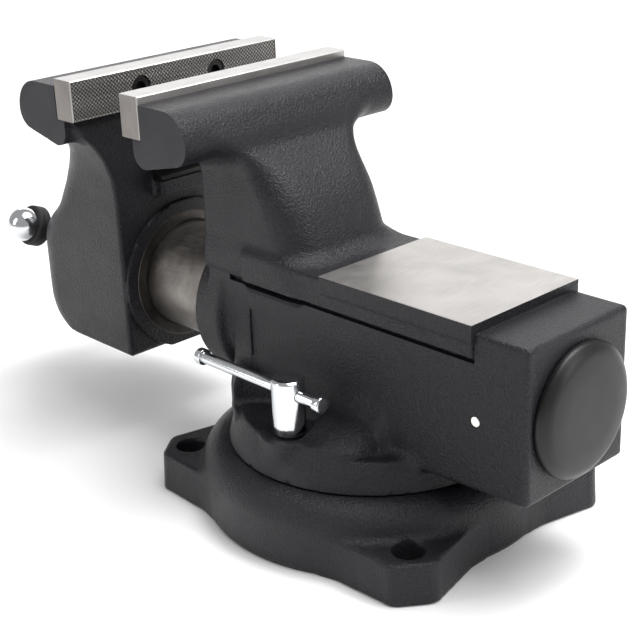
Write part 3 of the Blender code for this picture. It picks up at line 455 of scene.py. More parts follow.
def crossings(field, value, lines, axis):
    """Where the field changes sign along the grid edges of one axis: edge index, point, way."""
    low = tuple(slice(None, -1) if k == axis else slice(None) for k in range(3))
    high = tuple(slice(1, None) if k == axis else slice(None) for k in range(3))
    index = np.argwhere((value[low] < 0) != (value[high] < 0))
    start = np.stack([lines[k][index[:, k]] for k in range(3)], axis=1)
    ahead = index.copy()
    ahead[:, axis] += 1
    a, b = lines[axis][index[:, axis]].copy(), lines[axis][ahead[:, axis]].copy()
    fa, fb = value[tuple(index.T)].copy(), value[tuple(ahead.T)].copy()
    outward = fa < 0
    point = start.copy()
    for turn in range(5):
        straight = a + (b - a) * np.clip(fa / (fa - fb), 0.02, 0.98)
        middle = (a + b) / 2 if turn % 2 else straight
        point[:, axis] = middle
        fm = field(point[:, 0], point[:, 1], point[:, 2])
        same = (fm < 0) == (fa < 0)
        a, fa = np.where(same, middle, a), np.where(same, fm, fa)
        b, fb = np.where(same, b, middle), np.where(same, fb, fm)
    point[:, axis] = a + (b - a) * fa / (fa - fb)
    return index, point, outward


def skin(field, lines):
    """Points and quads of the surface where the field is zero, on the grid of three line sets."""
    x, y, z = lines[0][:, None, None], lines[1][None, :, None], lines[2][None, None, :]
    shape = tuple(len(line) for line in lines)
    value = np.ascontiguousarray(np.broadcast_to(field(x, y, z), shape))
    cells, points, slopes, quads = [], [], [], []
    around = np.array([(-1, -1), (0, -1), (0, 0), (-1, 0)])
    for axis in range(3):
        index, point, outward = crossings(field, value, lines, axis)
        others = ((axis + 1) % 3, (axis + 2) % 3)
        corner = np.repeat(index[:, None, :], 4, axis=1)
        corner[:, :, others[0]] += around[:, 0]
        corner[:, :, others[1]] += around[:, 1]
        number = (corner[..., 0] * shape[1] + corner[..., 1]) * shape[2] + corner[..., 2]
        quads.append(np.where(outward[:, None], number, number[:, ::-1]))
        slope = slope_of(field, point)
        cells.append(number.ravel())
        points.append(np.repeat(point, 4, axis=0))
        slopes.append(np.repeat(slope, 4, axis=0))
    number, back = np.unique(np.concatenate(cells), return_inverse=True)
    point, slope = np.concatenate(points), np.concatenate(slopes)
    count = np.bincount(back)
    mean = np.stack([np.bincount(back, point[:, k]) / count for k in range(3)], axis=1)
    lever = (slope * (point - mean[back])).sum(axis=1)
    normal = np.zeros((len(number), 3, 3))
    for i in range(3):
        for j in range(3):
            normal[:, i, j] = np.bincount(back, slope[:, i] * slope[:, j])
    normal += np.eye(3) * (0.03 * count[:, None, None])
    right = np.stack([np.bincount(back, slope[:, k] * lever) for k in range(3)], axis=1)
    found = mean + np.linalg.solve(normal, right[:, :, None])[:, :, 0]
    where = np.stack(np.unravel_index(number, shape), axis=1)
    for k in range(3):
        found[:, k] = np.clip(found[:, k], lines[k][where[:, k]], lines[k][where[:, k] + 1])
    faces = np.searchsorted(number, np.concatenate(quads))
    return found, faces


def grid_lines(low, high, step, fine=()):
    """Grid lines from low to high, with closer ones in each (from, to, step) band."""
    marks = np.arange(low, high + step, step)
    for start, end, close in fine:
        marks = marks[(marks < start - close) | (marks > end + close)]
        marks = np.concatenate([marks, np.arange(start, end + close / 2, close)])
    return np.sort(marks)


def cast(name, field, lines, body, stands_for):
    """A painted casting: the skin of its field, as a piece."""
    points, faces = skin(field, lines)
    return slotted(piece(name, points, faces, body, PAINT, (stands_for,), 50.0), "casting")


# %% [markdown]
# ## Swivel base
#
# A stepped ring with a rounded shoulder, and four lugs that run into it through fillets. The
# lugs are the same in all four quarters, so the field folds X and Y with their absolute values.

# %% Swivel base
LUG_ANGLE = np.radians(52.6)
LUG_TOP, RING_TOP = 24.5, 42.0
BOLT_HOLE, BOLT_AT = 9.1, 115.0


def shoulder():
    """A quarter of an ellipse, from the ring's wall to its flat top."""
    turn = np.radians(np.linspace(0, 82, 9))
    return [(88.0 + 16.3 * np.cos(a), 26.0 + 16.0 * np.sin(a)) for a in turn]


RING = np.array(
    [(-20, 0), (102.6, 0), (104.3, 3), *shoulder(), (88, RING_TOP), (-20, RING_TOP)], float
)


def lug_plan():
    """One lug's outline in its own frame: sides that open towards the ring, rounded outer end."""
    tip = []
    for side in (-1, 1):
        centre = np.array((122.0, side * 7.6))
        turn = np.radians(np.linspace(-62, 0, 6) if side < 0 else np.linspace(0, 62, 6))
        tip += [tuple(centre + 9.0 * np.array((np.cos(a), np.sin(a)))) for a in turn]
    return np.array([(60.0, -45.0), (92.0, -44.0), *tip, (92.0, 44.0), (60.0, 45.0)])


LUG = lug_plan()


def base_field(x, y, z):
    """Ring and folded lug, less the bolt holes, the recess below and the T-slot with its entry."""
    radius = np.sqrt(x * x + y * y)
    ring = outline_distance(radius, z, RING)
    fold_x, fold_y = np.abs(x), np.abs(y)
    along = fold_x * np.cos(LUG_ANGLE) + fold_y * np.sin(LUG_ANGLE)
    across = -fold_x * np.sin(LUG_ANGLE) + fold_y * np.cos(LUG_ANGLE)
    draft = 0.05 * (LUG_TOP - z)
    lug = common(outline_distance(along, across, LUG) - draft + 0.6, slab(z, 0.0, LUG_TOP), 2.2)
    whole = np.maximum(joined(ring, lug, 5.0), -z)
    whole = carved(whole, round_bar(along, across, BOLT_HOLE, (BOLT_AT, 0.0)), 0.8)
    recess = np.maximum(slab(radius, 34.0, 88.0), slab(z, -9.0, 12.0))
    whole = carved(whole, recess, 1.5)
    socket = np.maximum(radius - PIVOT_BORE, slab(z, 14.0, 60.0))
    slot_wide = np.maximum(slab(radius, 56.5, 80.5), slab(z, 20.0, 31.0))
    slot_neck = np.maximum(slab(radius, 61.5, 75.5), slab(z, 30.0, 60.0))
    entry = np.maximum(round_bar(x, y, 12.4, (0.0, LOCK_X)), slab(z, 21.0, 60.0))
    return np.maximum(whole, -all_of(slot_wide, slot_neck, entry, socket))


base_lines = (
    grid_lines(-110.0, 110.0, 1.9),
    grid_lines(-116.0, 116.0, 1.9),
    grid_lines(-3.0, 45.0, 1.7),
)
cast("swivel_base", base_field, base_lines, "base", "base_casting")

# %% [markdown]
# ## Jaw outline
#
# Both jaws end in the same rounded outline: flat on top, a full round at the back, a sloping
# belly and a small lip under the insert's seat. It is drawn once, from arcs and lines, as
# distance back from the seat and height.

# %% Jaw outline
def sweep(centre, radius, start, end, steps):
    """Points of an arc from one angle to another, in degrees."""
    turn = np.radians(np.linspace(start, end, steps))
    return [(centre[0] + radius * np.cos(a), centre[1] + radius * np.sin(a)) for a in turn]


JAW = np.array(
    [(0.0, 218.6), (0.0, 239.4)]
    + sweep((21.8, 220.4), 19.0, 90, 0, 12)
    + sweep((28.8, 220.4), 12.0, -8, -77.7, 9)
    + sweep((2.1, 211.8), 9.5, -77.7, -180, 10)
    + [(-7.4, 218.6)]
)


def jaw_field(x, back, z):
    """The outline carried along X, its ends flat with a small round."""
    return common(outline_distance(back, z, JAW), np.abs(x) - JAW_HALF, 0.3)


# %% [markdown]
# ## Body casting
#
# The body is the long one: a housing for the slide, a round nose at its mouth, the fixed jaw's
# column sweeping up to the jaw, the wider anvil above a thin ledge line, and the turntable
# below with its lock bosses and the scoops beside them.

# %% Body sections
column_rear = eased(
    [118, 134, 153, 167, 180, 190, 200, 212, 226],
    [3, -9, -15.5, -20.5, -26, -33, -43, -56, -63],
    3.5,
)
column_half = eased(
    [118, 132, 137, 146, 156, 190, 198, 204, 210, 216, 226],
    [41.6, 41.6, 44, 43.8, 42, 42, 42.6, 45, 50, 58, 66],
    1.6,
)
column_corner = eased([134, 150, 190, 205, 220], [18, 24, 22, 15, 11], 5.0)
RIM = [(-20.0, 42.3), (86.6, 42.3), (87.5, 43.2), (86.4, 47.5), (84.0, 53.0)]
DISC = np.array(RIM + [(80.6, 58.4), (79.6, 59.2), (-20.0, 59.4)])
FLOOR = np.array(RIM + [(80.2, 60.2), (79.0, 61.4), (-20.0, 62.0)])
DECK = np.array(RIM + [(80.0, 60.0), (78.8, 63.5), (-20.0, 110.0)])


def fixed_upper(x, y, z):
    """The jaw on its column, the shelf and the anvil behind it, and the pipe jaw's step."""
    plan = column(x, y, column_half(z), -101.0, column_rear(z), 6.0, column_corner(z))
    post_up = common(plan * 0.82, slab(z, 122.0, 222.0), 2.0)
    shelf = brick(x, y, z, (-44.0, -60.0, LEDGE_Z - 2.0), (44.0, 112.4, ANVIL_TOP - 1.6), 1.6)
    whole = joined(post_up, shelf, 8.0)
    pad = brick(x, y, z, (-ANVIL_SIDE, 2.3, 141.0), (ANVIL_SIDE, 112.7, ANVIL_TOP), 0.4)
    whole = joined(whole, pad, 0.8)
    low, high = (-STEP_HALF, seat_fixed - 8.0, STEP_LOW), (STEP_HALF, seat_fixed + 10.0, STEP_HIGH)
    whole = joined(whole, brick(x, y, z, low, high, 1.5), 3.0)
    return joined(whole, jaw_field(x, y - seat_fixed, z), 8.0)


def housing(x, y, z):
    """The box round the slide, its rear block and its round nose, with the plain side panel."""
    floor = FLOOR_Z + 4.5 * np.clip((y - 40.0) / 105.0, 0, 1)
    low = brick(x, y, z, (-SIDE, -78.0, 50.0), (SIDE, 118.0, LEDGE_Z + 6.0), 2.2)
    front = brick(x, y, z, (-SIDE, -97.0, 104.0), (SIDE, 0.0, LEDGE_Z + 6.0), 2.2)
    tail = brick(x, y, z, (-SIDE, 60.0, 50.0), (SIDE, REAR_Y, 145.8), 3.4)
    low = common(all_of(low, front, tail), floor - z, 3.0)
    low = np.minimum(low, bar_y(x, y, z, 42.0, -100.0, -50.0, 1.0))
    nose = bar_y(x, y, z, 47.4, -107.8, -84.0, 3.4)
    low = joined(low, nose, 5.0)
    panel = brick(x, y, z, (-60.0, -61.0, 75.0), (60.0, 46.0, 115.0), 0.4)
    skin_deep = SIDE - 1.0 - np.abs(x)
    return carved(low, np.maximum(panel, skin_deep), 0.3)


def turntable(x, y, z):
    """Disc, front wall, scooped floor with the lock boss, and the sloping deck behind it."""
    radius = np.sqrt(x * x + y * y)
    side_x = np.abs(x)
    disc = outline_distance(radius, z, DISC)
    wall = common(radius - 84.2, slab(z, 43.0, 79.0), 3.0)
    wall = common(wall, z - 78.0 - 0.9 * (84.0 - radius), 8.0)
    wall = common(wall, y + 42.0, 10.0)
    neck = brick(x, y, z, (-48.0, -76.0, 48.0), (48.0, 49.0, 90.0), 3.0)
    neck = common(neck, (z - 77.0 + 1.2 * (side_x - SIDE)) * 0.64, 5.0)
    front_floor = common(outline_distance(radius, z, FLOOR), y - 9.0, 1.5)
    pad = post(side_x, y, z, 17.8, 44.0, 64.0, 0.6, at=(LOCK_X, 1.0))
    slant = (z - 75.5 + 0.36 * (side_x - SIDE)) * 0.94
    deck = common(outline_distance(radius, z, DECK), slant, 0.9)
    deck = common(common(deck, y - 51.0, 11.0), 8.0 - y, 3.0)
    whole = joined(np.minimum(disc, wall), neck, 8.0)
    scoop = post(side_x, y, z, 25.5, 60.5, 130.0, 5.0, at=(71.0, -32.0))
    whole = carved(whole, scoop, 2.5)
    return joined(all_of(whole, front_floor, deck), pad, 1.5)


def jaw_holes(x, y, z, seat_low, seat_high, pocket_low, pocket_high):
    """What both jaws lose: two screw holes behind the insert and the pipe jaw's pocket."""
    screws = round_bar(np.abs(x), z, SCREW_BORE, (SCREW_X, SCREW_Z))
    low, high = (-PIPE_HALF, pocket_low, PIPE_LOW), (PIPE_HALF, pocket_high, PIPE_HIGH)
    return all_of(np.maximum(screws, slab(y, seat_low, seat_high)), brick(x, y, z, low, high, 0.2))


def body_field(x, y, z):
    """Housing, jaw and turntable, less the groove, the nut seats, the bores and the pockets."""
    side_x = np.abs(x)
    whole = np.minimum(housing(x, y, z), fixed_upper(x, y, z))
    low, high = (SIDE - 3.0, -77.0, LEDGE_Z - 3.6), (60.0, 112.6, LEDGE_Z)
    whole = carved(whole, brick(side_x, y, z, low, high, 0.2), 0.5)
    whole = joined(whole, turntable(x, y, z), 6.0)
    whole = carved(whole, post(side_x, y, z, 12.6, 63.4, 99.0, 0.4, at=(LOCK_X, 0.0)), 0.5)
    bolt = round_bar(side_x, y, 6.3, (LOCK_X, 0.0))
    bore = np.maximum(round_bar(x, z, SLIDE_BORE, (0.0, AXIS_Z)), slab(y, -130.0, 103.7))
    mouth = np.maximum(round_bar(x, z, CAP_BORE, (0.0, AXIS_Z)), slab(y, 102.0, 160.0))
    pin = np.maximum(round_bar(y, z, 3.25, (PIN_Y, PIN_Z)), 30.0 - side_x)
    pivot = np.maximum(round_bar(x, y, PIVOT_BORE), z - 58.3)
    nut = brick(x, y, z, (-10.3, -90.3, 55.2), (10.3, -44.7, AXIS_Z), 0.2)
    jaw = jaw_holes(x, y, z, seat_fixed - 5.0, seat_fixed + 17.0, -130.0, -93.2)
    return np.maximum(whole, -all_of(bolt, bore, mouth, pin, pivot, nut, jaw))


# %% [markdown]
# The grid is a little under two millimetres, and closer where a small step has to stay crisp:
# along the housing's sides, at the groove and at the anvil's top.

# %% Body casting
fine_x = [(-46.0, -38.5, 0.8), (38.5, 46.0, 0.8)]
body_lines = (
    grid_lines(-88.0, 88.0, 1.85, fine_x),
    grid_lines(-111.0, 151.0, 1.85, [(110.5, 114.5, 0.8)]),
    grid_lines(39.0, 243.0, 1.85, [(129.0, 134.6, 0.6), (149.0, 152.2, 0.8)]),
)
fixed_body = cast("fixed_body", body_field, body_lines, "body", "body_casting")

# %% [markdown]
# The anvil's top is milled bare after painting, and so is nothing else on this casting. The pad
# is a material of its own on the faces that lie in that plane; the jaw's flat ends are smoother
# than the rest, because they are dressed before painting.

# %% Bare pad and smooth ends
def repaint(made, material, test):
    """Gives the faces whose middle and direction pass the test a second material."""
    mesh = made.data
    middle = np.empty(len(mesh.polygons) * 3)
    facing = np.empty(len(mesh.polygons) * 3)
    mesh.polygons.foreach_get("center", middle)
    mesh.polygons.foreach_get("normal", facing)
    chosen = test(middle.reshape(-1, 3) / MM, facing.reshape(-1, 3))
    mesh.materials.append(material)
    slots = np.empty(len(mesh.polygons), np.int32)
    mesh.polygons.foreach_get("material_index", slots)
    slots[chosen] = len(mesh.materials) - 1
    mesh.polygons.foreach_set("material_index", slots)
    print(f"{made.name}: {int(chosen.sum())} faces of {material.name}")


def on_pad(p, n):
    level = (p[:, 2] > ANVIL_TOP - 0.3) & (p[:, 2] < ANVIL_TOP + 0.3)
    return level & (p[:, 1] > 2.3) & (n[:, 2] > 0.9)


def jaw_end(p, n):
    return (np.abs(p[:, 0]) > JAW_HALF - 0.2) & (np.abs(n[:, 0]) > 0.9)


repaint(fixed_body, PAD_STEEL, on_pad)
repaint(fixed_body, SMOOTH_PAINT, jaw_end)

# %% [markdown]
# ## Sliding jaw
#
# The moving jaw is a deep rounded shell, bulging low down where it takes the slide and narrowing
# to a neck before it flares into the jaw. Its plan is the same rounded rectangle at every height,
# so three curves say it all: how far its front stands out, how wide it is, and its corners.

# %% Sliding jaw field
front_of = eased(
    [51, 56, 64, 74, 84, 118, 126, 134]
    + [142, 148, 162, 177, 190, 205, 220],
    [-251, -263, -274, -278.4, -278.8, -278.8, -275, -268]
    + [-258.5, -254.5, -247, -239, -232, -226, -222],
    2.5,
)
side_of = eased(
    [50, 60, 162, 176, 190, 200, 207, 214, 222], [51.5, 52.4, 52.4, 54, 59, 66, 73, 76, 76], 2.5
)
front_corner = eased([50, 60, 120, 150, 176, 188, 200, 214], [24, 28, 28, 28, 30, 34, 36, 34], 4.0)


def sliding_field(x, y, z):
    """Trunk, boss, step and jaw, less the slide's bore, the journal and the jaw's holes."""
    plan = column(x, y, side_of(z), front_of(z), moving_rear, front_corner(z), 2.5)
    trunk = common(plan * 0.8, slab(z, FLOOR_Z, 216.0), 4.0)
    boss = bar_y(x, y, z, 51.0, moving_rear - 12.0, moving_rear + 1.8, 1.4)
    boss = np.maximum(boss, FLOOR_Z - z)
    low, high = (-STEP_HALF, moving_rear - 6.0, STEP_LOW), (STEP_HALF, moving_rear + 8.3, STEP_HIGH)
    whole = joined(np.minimum(trunk, boss), brick(x, y, z, low, high, 1.5), 3.0)
    whole = joined(whole, jaw_field(x, seat_moving - y, z), 5.0)
    bore = round_bar(x, z, SLIDE_BORE, (0.0, AXIS_Z))
    bore = np.maximum(bore, slab(y, moving_rear - 60.0, -120.0))
    journal = round_bar(x, z, 12.3, (0.0, AXIS_Z))
    jaw = jaw_holes(x, y, z, seat_moving - 17.0, seat_moving + 5.0, moving_rear - 7.8, -150.0)
    return np.maximum(whole, -all_of(bore, journal, jaw))


# %% [markdown]
# Nothing on this casting is smaller than its fillets, so one even grid is enough. Only the jaw's
# flat ends are smoother than the rest, as on the body.

# %% Sliding jaw
sliding_lines = (
    grid_lines(-88.0, 88.0, 1.8),
    grid_lines(-283.0, -158.0, 1.8),
    grid_lines(50.0, 243.0, 1.8),
)
sliding_jaw = cast(
    "sliding_jaw", sliding_field, sliding_lines, "sliding_jaw", "sliding_jaw_casting"
)
repaint(sliding_jaw, SMOOTH_PAINT, jaw_end)

# %% [markdown]
# ## Turned pieces
#
# Tube, nuts, bars, balls and pins all come off a lathe. Each is a profile of radius and height
# carried round an axis. Real edges are broken by a small chamfer or round, so every corner of a
# profile takes a small curve before it is turned.

# %% Lathe helpers
def softened(corners, closed):
    """Rounds each (radius, height, fillet) corner with a short parabola between its two sides."""
    corners = np.array(corners, float)
    path = []
    for i, (r, h, fillet) in enumerate(corners):
        here = np.array((r, h))
        if fillet <= 0 or (not closed and i in (0, len(corners) - 1)):
            path.append(here)
            continue
        before, after = corners[i - 1][:2] - here, corners[(i + 1) % len(corners)][:2] - here
        reach = min(fillet, 0.48 * np.linalg.norm(before), 0.48 * np.linalg.norm(after))
        start = here + before / np.linalg.norm(before) * reach
        end = here + after / np.linalg.norm(after) * reach
        for t in np.linspace(0, 1, 5):
            path.append((1 - t) ** 2 * start + 2 * t * (1 - t) * here + t * t * end)
    return np.array(path)


def axes_for(direction, up=(0.0, 0.0, 1.0)):
    """Two unit vectors across the axis, and the axis itself."""
    axis = np.array(direction, float) / np.linalg.norm(direction)
    side = np.cross(np.array((1.0, 0, 0)) if abs(axis[2]) > 0.9 else np.array(up), axis)
    side /= np.linalg.norm(side)
    return side, np.cross(axis, side), axis


def lathe(corners, origin, direction, segments):
    """Points and faces of a profile turned round an axis. An open profile starts and ends on it."""
    closed = corners[0][0] > 0
    path = softened(corners, closed)
    side, other, axis = axes_for(direction)
    turn = np.linspace(0, 2 * np.pi, segments, endpoint=False)
    ring = np.cos(turn)[:, None] * side + np.sin(turn)[:, None] * other
    body = path if closed else path[1:-1]
    radius = body[:, 0][:, None, None]
    points = np.array(origin) + radius * ring[None] + body[:, 1][:, None, None] * axis
    rows, count = points.shape[:2]
    points = points.reshape(-1, 3)
    i, j = np.meshgrid(np.arange(rows if closed else rows - 1), np.arange(count), indexing="ij")
    after, beside = (i + 1) % rows, (j + 1) % count
    here, there = i * count, after * count
    quads = np.stack([here + j, here + beside, there + beside, there + j], -1)
    faces = quads.reshape(-1, 4).tolist()
    if not closed:
        poles = np.array(origin) + path[[0, -1], 1][:, None] * axis
        first, last = len(points), len(points) + 1
        points = np.concatenate([points, poles])
        j = np.arange(count)
        faces += np.stack([np.full(count, first), (j + 1) % count, j], -1).tolist()
        tail = (rows - 1) * count
        faces += np.stack([np.full(count, last), tail + j, tail + (j + 1) % count], -1).tolist()
    return points, faces


def outward(mesh, merge=False):
    """Turns every face to point out of its closed shell, after merging doubles where asked."""
    shell = bmesh.new()
    shell.from_mesh(mesh)
    if merge:
        bmesh.ops.remove_doubles(shell, verts=shell.verts, dist=1e-6)
    bmesh.ops.recalc_face_normals(shell, faces=shell.faces)
    shell.to_mesh(mesh)
    shell.free()


def turned(name, corners, origin, direction, body, material, slot, stands_for=(), segments=96):
    """A lathe's surface as a finished piece."""
    points, faces = lathe(corners, origin, direction, segments)
    made = piece(name, points, faces, body, material, stands_for, 32.0)
    outward(made.data)
    return slotted(made, slot)


# %% [markdown]
# The slide is a bare turned tube with a machined collar where it enters the sliding jaw. Its
# underside has a long slot for the nut's foot; the slot faces the bench. A slot is no part of a
# turned shape, so an exact Boolean cuts it afterwards, as a mill would.

# %% Slide tube and collar
ON_AXIS, ALONG_Y = (0, 0, AXIS_Z), (0, 1, 0)
front, rear = (corner[1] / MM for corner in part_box("slide_tube"))
tube_profile = [(27.0, front, 0.6), (35.0, front, 0.8), (35.0, rear, 0.8), (27.0, rear, 0.6)]
tube = (ON_AXIS, ALONG_Y, "sliding_jaw", TUBE_STEEL, "steel", ("slide_tube",), 144)
slide = turned("slide", tube_profile, *tube)
collar_profile = [
    (35.7, moving_rear + 0.2, 0.2),
    (43.2, moving_rear + 0.2, 0.3),
    (43.2, moving_rear + 1.7, 0.6),
    (42.2, moving_rear + 2.2, 0.4),
    (36.6, moving_rear + 2.2, 0.5),
    (35.7, moving_rear + 1.5, 0.3),
]
turned(
    "slide_collar", collar_profile, ON_AXIS, ALONG_Y, "sliding_jaw", RING_STEEL, "steel", (), 144
)


def cutter(name, low, high):
    """A plain box that only cuts: it is removed once its Boolean is applied."""
    low, high = np.array(low) * MM, np.array(high) * MM
    corners = [[(high if bit & 1 << k else low)[k] for k in range(3)] for bit in range(8)]
    quads = [(0, 2, 3, 1), (4, 5, 7, 6), (0, 1, 5, 4), (2, 6, 7, 3), (0, 4, 6, 2), (1, 3, 7, 5)]
    mesh = bpy.data.meshes.new(name)
    mesh.from_pydata(corners, [], quads)
    made = bpy.data.objects.new(name, mesh)
    bpy.context.scene.collection.objects.link(made)
    return made


def bite(made, tools, crease=32.0):
    """Cuts the tools from a piece with exact Booleans, then bakes the result into its mesh."""
    for tool in tools:
        step = made.modifiers.new(tool.name, "BOOLEAN")
        step.operation = "DIFFERENCE"
        step.object = tool
    graph = bpy.context.evaluated_depsgraph_get()
    baked = bpy.data.meshes.new_from_object(made.evaluated_get(graph))
    made.modifiers.clear()
    made.data = baked
    baked.shade_smooth()
    baked.set_sharp_from_angle(angle=np.radians(crease))
    for tool in tools:
        bpy.data.objects.remove(tool, do_unlink=True)
    print(f"{made.name}: {len(baked.polygons)} faces after cutting")


bite(slide, [cutter("nut_slot", (-10.6, -139.4, 60.0), (10.6, rear + 2.0, 87.0))])

# %% [markdown]
# The rear cap is a shallow black dome pressed into the rear of the housing. A cross pin holds
# it; the pin's bright ends show on both sides.

# %% Rear cap and pin
face = REAR_Y + 0.3
dome = [(0.0, 8.4, 0), (24.0, 8.2, 6.0), (33.0, 7.0, 4.0), (37.5, 3.4, 3.0), (37.5, 0.0, 0.6)]
skirt = [(30, 0, 0.3), (30, -43, 0.8), (24, -43, 0.8), (24, -0.5, 1.0), (0, -0.5, 0)]
cap = ((0, face, AXIS_Z), ALONG_Y, "body", CAP_PLASTIC, "cap", ("rear_cap",), 128)
turned("domed_cap", dome + skirt, *cap)
PIN_HALF = SIDE - 0.15
pin_profile = [(0, -PIN_HALF, 0), (3.0, -PIN_HALF, 0.5), (3.0, PIN_HALF, 0.5), (0, PIN_HALF, 0)]
pin = ((0, PIN_Y, PIN_Z), (1, 0, 0), "body", PIN_STEEL, "steel", ("cap_pin",), 40)
turned("cross_pin", pin_profile, *pin)

# %% [markdown]
# ## Lock-downs
#
# On each side a tall chromed nut clamps the swivel, and a small bar slides through it. The bar
# is turned with a knob at one end; a pressed cap keeps it in at the other.

# %% Tools that drill
def drill(name, corners, origin, direction, segments=48):
    """A turned cutter: its faces point outwards, so an exact Boolean can use it."""
    points, faces = lathe(corners, origin, direction, segments)
    mesh = bpy.data.meshes.new(name)
    mesh.from_pydata((points * MM).tolist(), [], faces)
    outward(mesh)
    made = bpy.data.objects.new(name, mesh)
    bpy.context.scene.collection.objects.link(made)
    return made


def through(name, radius, origin, direction, reach=30.0):
    """A plain drill that goes right through."""
    corners = [(0, -reach, 0), (radius, -reach, 0), (radius, reach, 0), (0, reach, 0)]
    return drill(name, corners, origin, direction)


# %% [markdown]
# Both sides are alike, so the profiles are drawn once and a loop places them. A blind hole in
# the nut's foot takes the T-bolt from the base.

# %% Lock nuts and bars
NUT_SEAT, NUT_TOP, BAR_Z = 63.7, 98.0, 88.6
NUT_PROFILE = [
    (6.3, NUT_SEAT, 0.2),
    (8.9, NUT_SEAT, 0.4),
    (9.7, NUT_SEAT + 1.0, 0.5),
    (9.7, NUT_TOP - 1.7, 0.5),
    (8.4, NUT_TOP - 0.5, 0.4),
    (4.0, NUT_TOP - 0.15, 3.0),
]
BLIND = NUT_TOP - 17.0
NUT_CLOSED = NUT_PROFILE + [(0.02, NUT_TOP, 0), (0.02, BLIND, 0), (6.3, BLIND, 0.3)]
BAR_HALF, BAR_SLID, KNOB = 52.9, -24.8, 5.0
BAR_PROFILE = [
    (0, -BAR_HALF, 0),
    (KNOB, -BAR_HALF, 1.1),
    (KNOB, -BAR_HALF + 5.0, 0.9),
    (3.5, -BAR_HALF + 5.0, 0.25),
    (3.5, BAR_HALF - 1.5, 0.4),
    (0, BAR_HALF - 1.5, 0),
]
BAR_CAP = [
    (3.75, BAR_HALF - 5.0, 0.2),
    (KNOB, BAR_HALF - 5.0, 0.9),
    (KNOB, BAR_HALF, 1.1),
    (0.02, BAR_HALF, 0),
    (0.02, BAR_HALF - 1.2, 0),
    (3.75, BAR_HALF - 1.2, 0.2),
]


def chromed(name, corners, origin, direction, body, stands_for, segments):
    """A turned piece with a chrome finish."""
    return turned(name, corners, origin, direction, body, CHROME, "chrome", (stands_for,), segments)


for name, x in (("right", LOCK_X), ("left", -LOCK_X)):
    nut, bar = f"lock_nut_{name}", f"lock_bar_{name}"
    made = chromed(f"{nut}_chromed", NUT_CLOSED, (x, 0, 0), (0, 0, 1), f"{nut}_body", nut, 96)
    bite(made, [through("bar_hole", 3.8, (x, 0, BAR_Z), ALONG_Y)])
    middle, cap = (x, BAR_SLID, BAR_Z), f"lock_bar_cap_{name}"
    chromed(f"{bar}_chromed", BAR_PROFILE, middle, ALONG_Y, f"{bar}_body", bar, 48)
    chromed(f"lock_cap_{name}", BAR_CAP, middle, ALONG_Y, f"{bar}_body", cap, 48)

# %% [markdown]
# ## Spindle
#
# Behind the jaw the spindle is a screw. Vise screws have a trapezoidal thread: a flat crest, a
# flat root and steep flanks. The radius is a function of two numbers, the angle and the
# distance along: it depends only on distance over pitch less angle over a full turn.

# %% Threaded spindle
HEAD_FRONT, SPINDLE_END = (corner[1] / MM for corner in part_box("spindle"))
HEAD_REAR = HEAD_FRONT + 28.0
HANDLE_Y = HEAD_FRONT + 14.0
THREAD_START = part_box("spindle_collar")[1][1] / MM + 3.0
PITCH = 5.0


def thread_radius(turn, along):
    """Crest 14, root 11.6: a clipped triangle wave of along / pitch - turn."""
    phase = np.mod(along / PITCH - turn, 1.0)
    wave = np.clip((np.abs(phase - 0.5) * 2 - 0.5) * 2.6, -0.5, 0.5) + 0.5
    fade_in = np.clip((along - THREAD_START) / 6.0, 0, 1)
    fade_out = np.clip((SPINDLE_END - 3.0 - along) / 4.0, 0, 1)
    return 14.0 - 2.4 * wave * (fade_in * fade_out)


def spindle_surface(segments=72):
    """Rows along the axis, columns round it; the head and journal are turned, the rest threaded."""
    head = softened(
        [
            (0.0, HEAD_FRONT, 0),
            (14.5, HEAD_FRONT, 2.0),
            (22.0, HEAD_FRONT + 6.0, 4.5),
            (22.0, HEAD_REAR - 3.5, 1.6),
            (19.0, HEAD_REAR, 1.0),
            (12.0, HEAD_REAR, 0.3),
            (12.0, THREAD_START - 2.2, 0.3),
            (14.0, THREAD_START - 1.0, 0.5),
            (14.0, THREAD_START, 0),
        ],
        False,
    )[1:]
    along = np.arange(THREAD_START + 0.5, SPINDLE_END - 2.9, 0.5)
    turn = np.arange(segments) / segments
    smooth = np.repeat(head[:, :1], segments, axis=1)
    cut = thread_radius(turn[None, :], along[:, None])
    end = np.repeat(np.array([[13.0], [11.0]]), segments, axis=1)
    radius = np.concatenate([smooth, cut, end])
    y = np.concatenate([head[:, 1], along, [SPINDLE_END - 1.4, SPINDLE_END]])[:, None]
    angle = 2 * np.pi * turn[None, :]
    rings = np.stack([radius * np.cos(angle), y + 0 * radius, AXIS_Z + radius * np.sin(angle)], -1)
    rows = len(rings)
    poles = [(0, HEAD_FRONT, AXIS_Z), (0, SPINDLE_END, AXIS_Z)]
    points = np.concatenate([rings.reshape(-1, 3), poles])
    i, j = np.meshgrid(np.arange(rows - 1), np.arange(segments), indexing="ij")
    beside = (j + 1) % segments
    here, there = i * segments, (i + 1) * segments
    quads = np.stack([here + j, there + j, there + beside, here + beside], -1)
    j, last = np.arange(segments), rows * segments
    front = np.stack([np.full(segments, last), j, (j + 1) % segments], -1)
    tail = (rows - 1) * segments
    back = np.stack([np.full(segments, last + 1), tail + (j + 1) % segments, tail + j], -1)
    return points, quads.reshape(-1, 4).tolist() + front.tolist() + back.tolist()


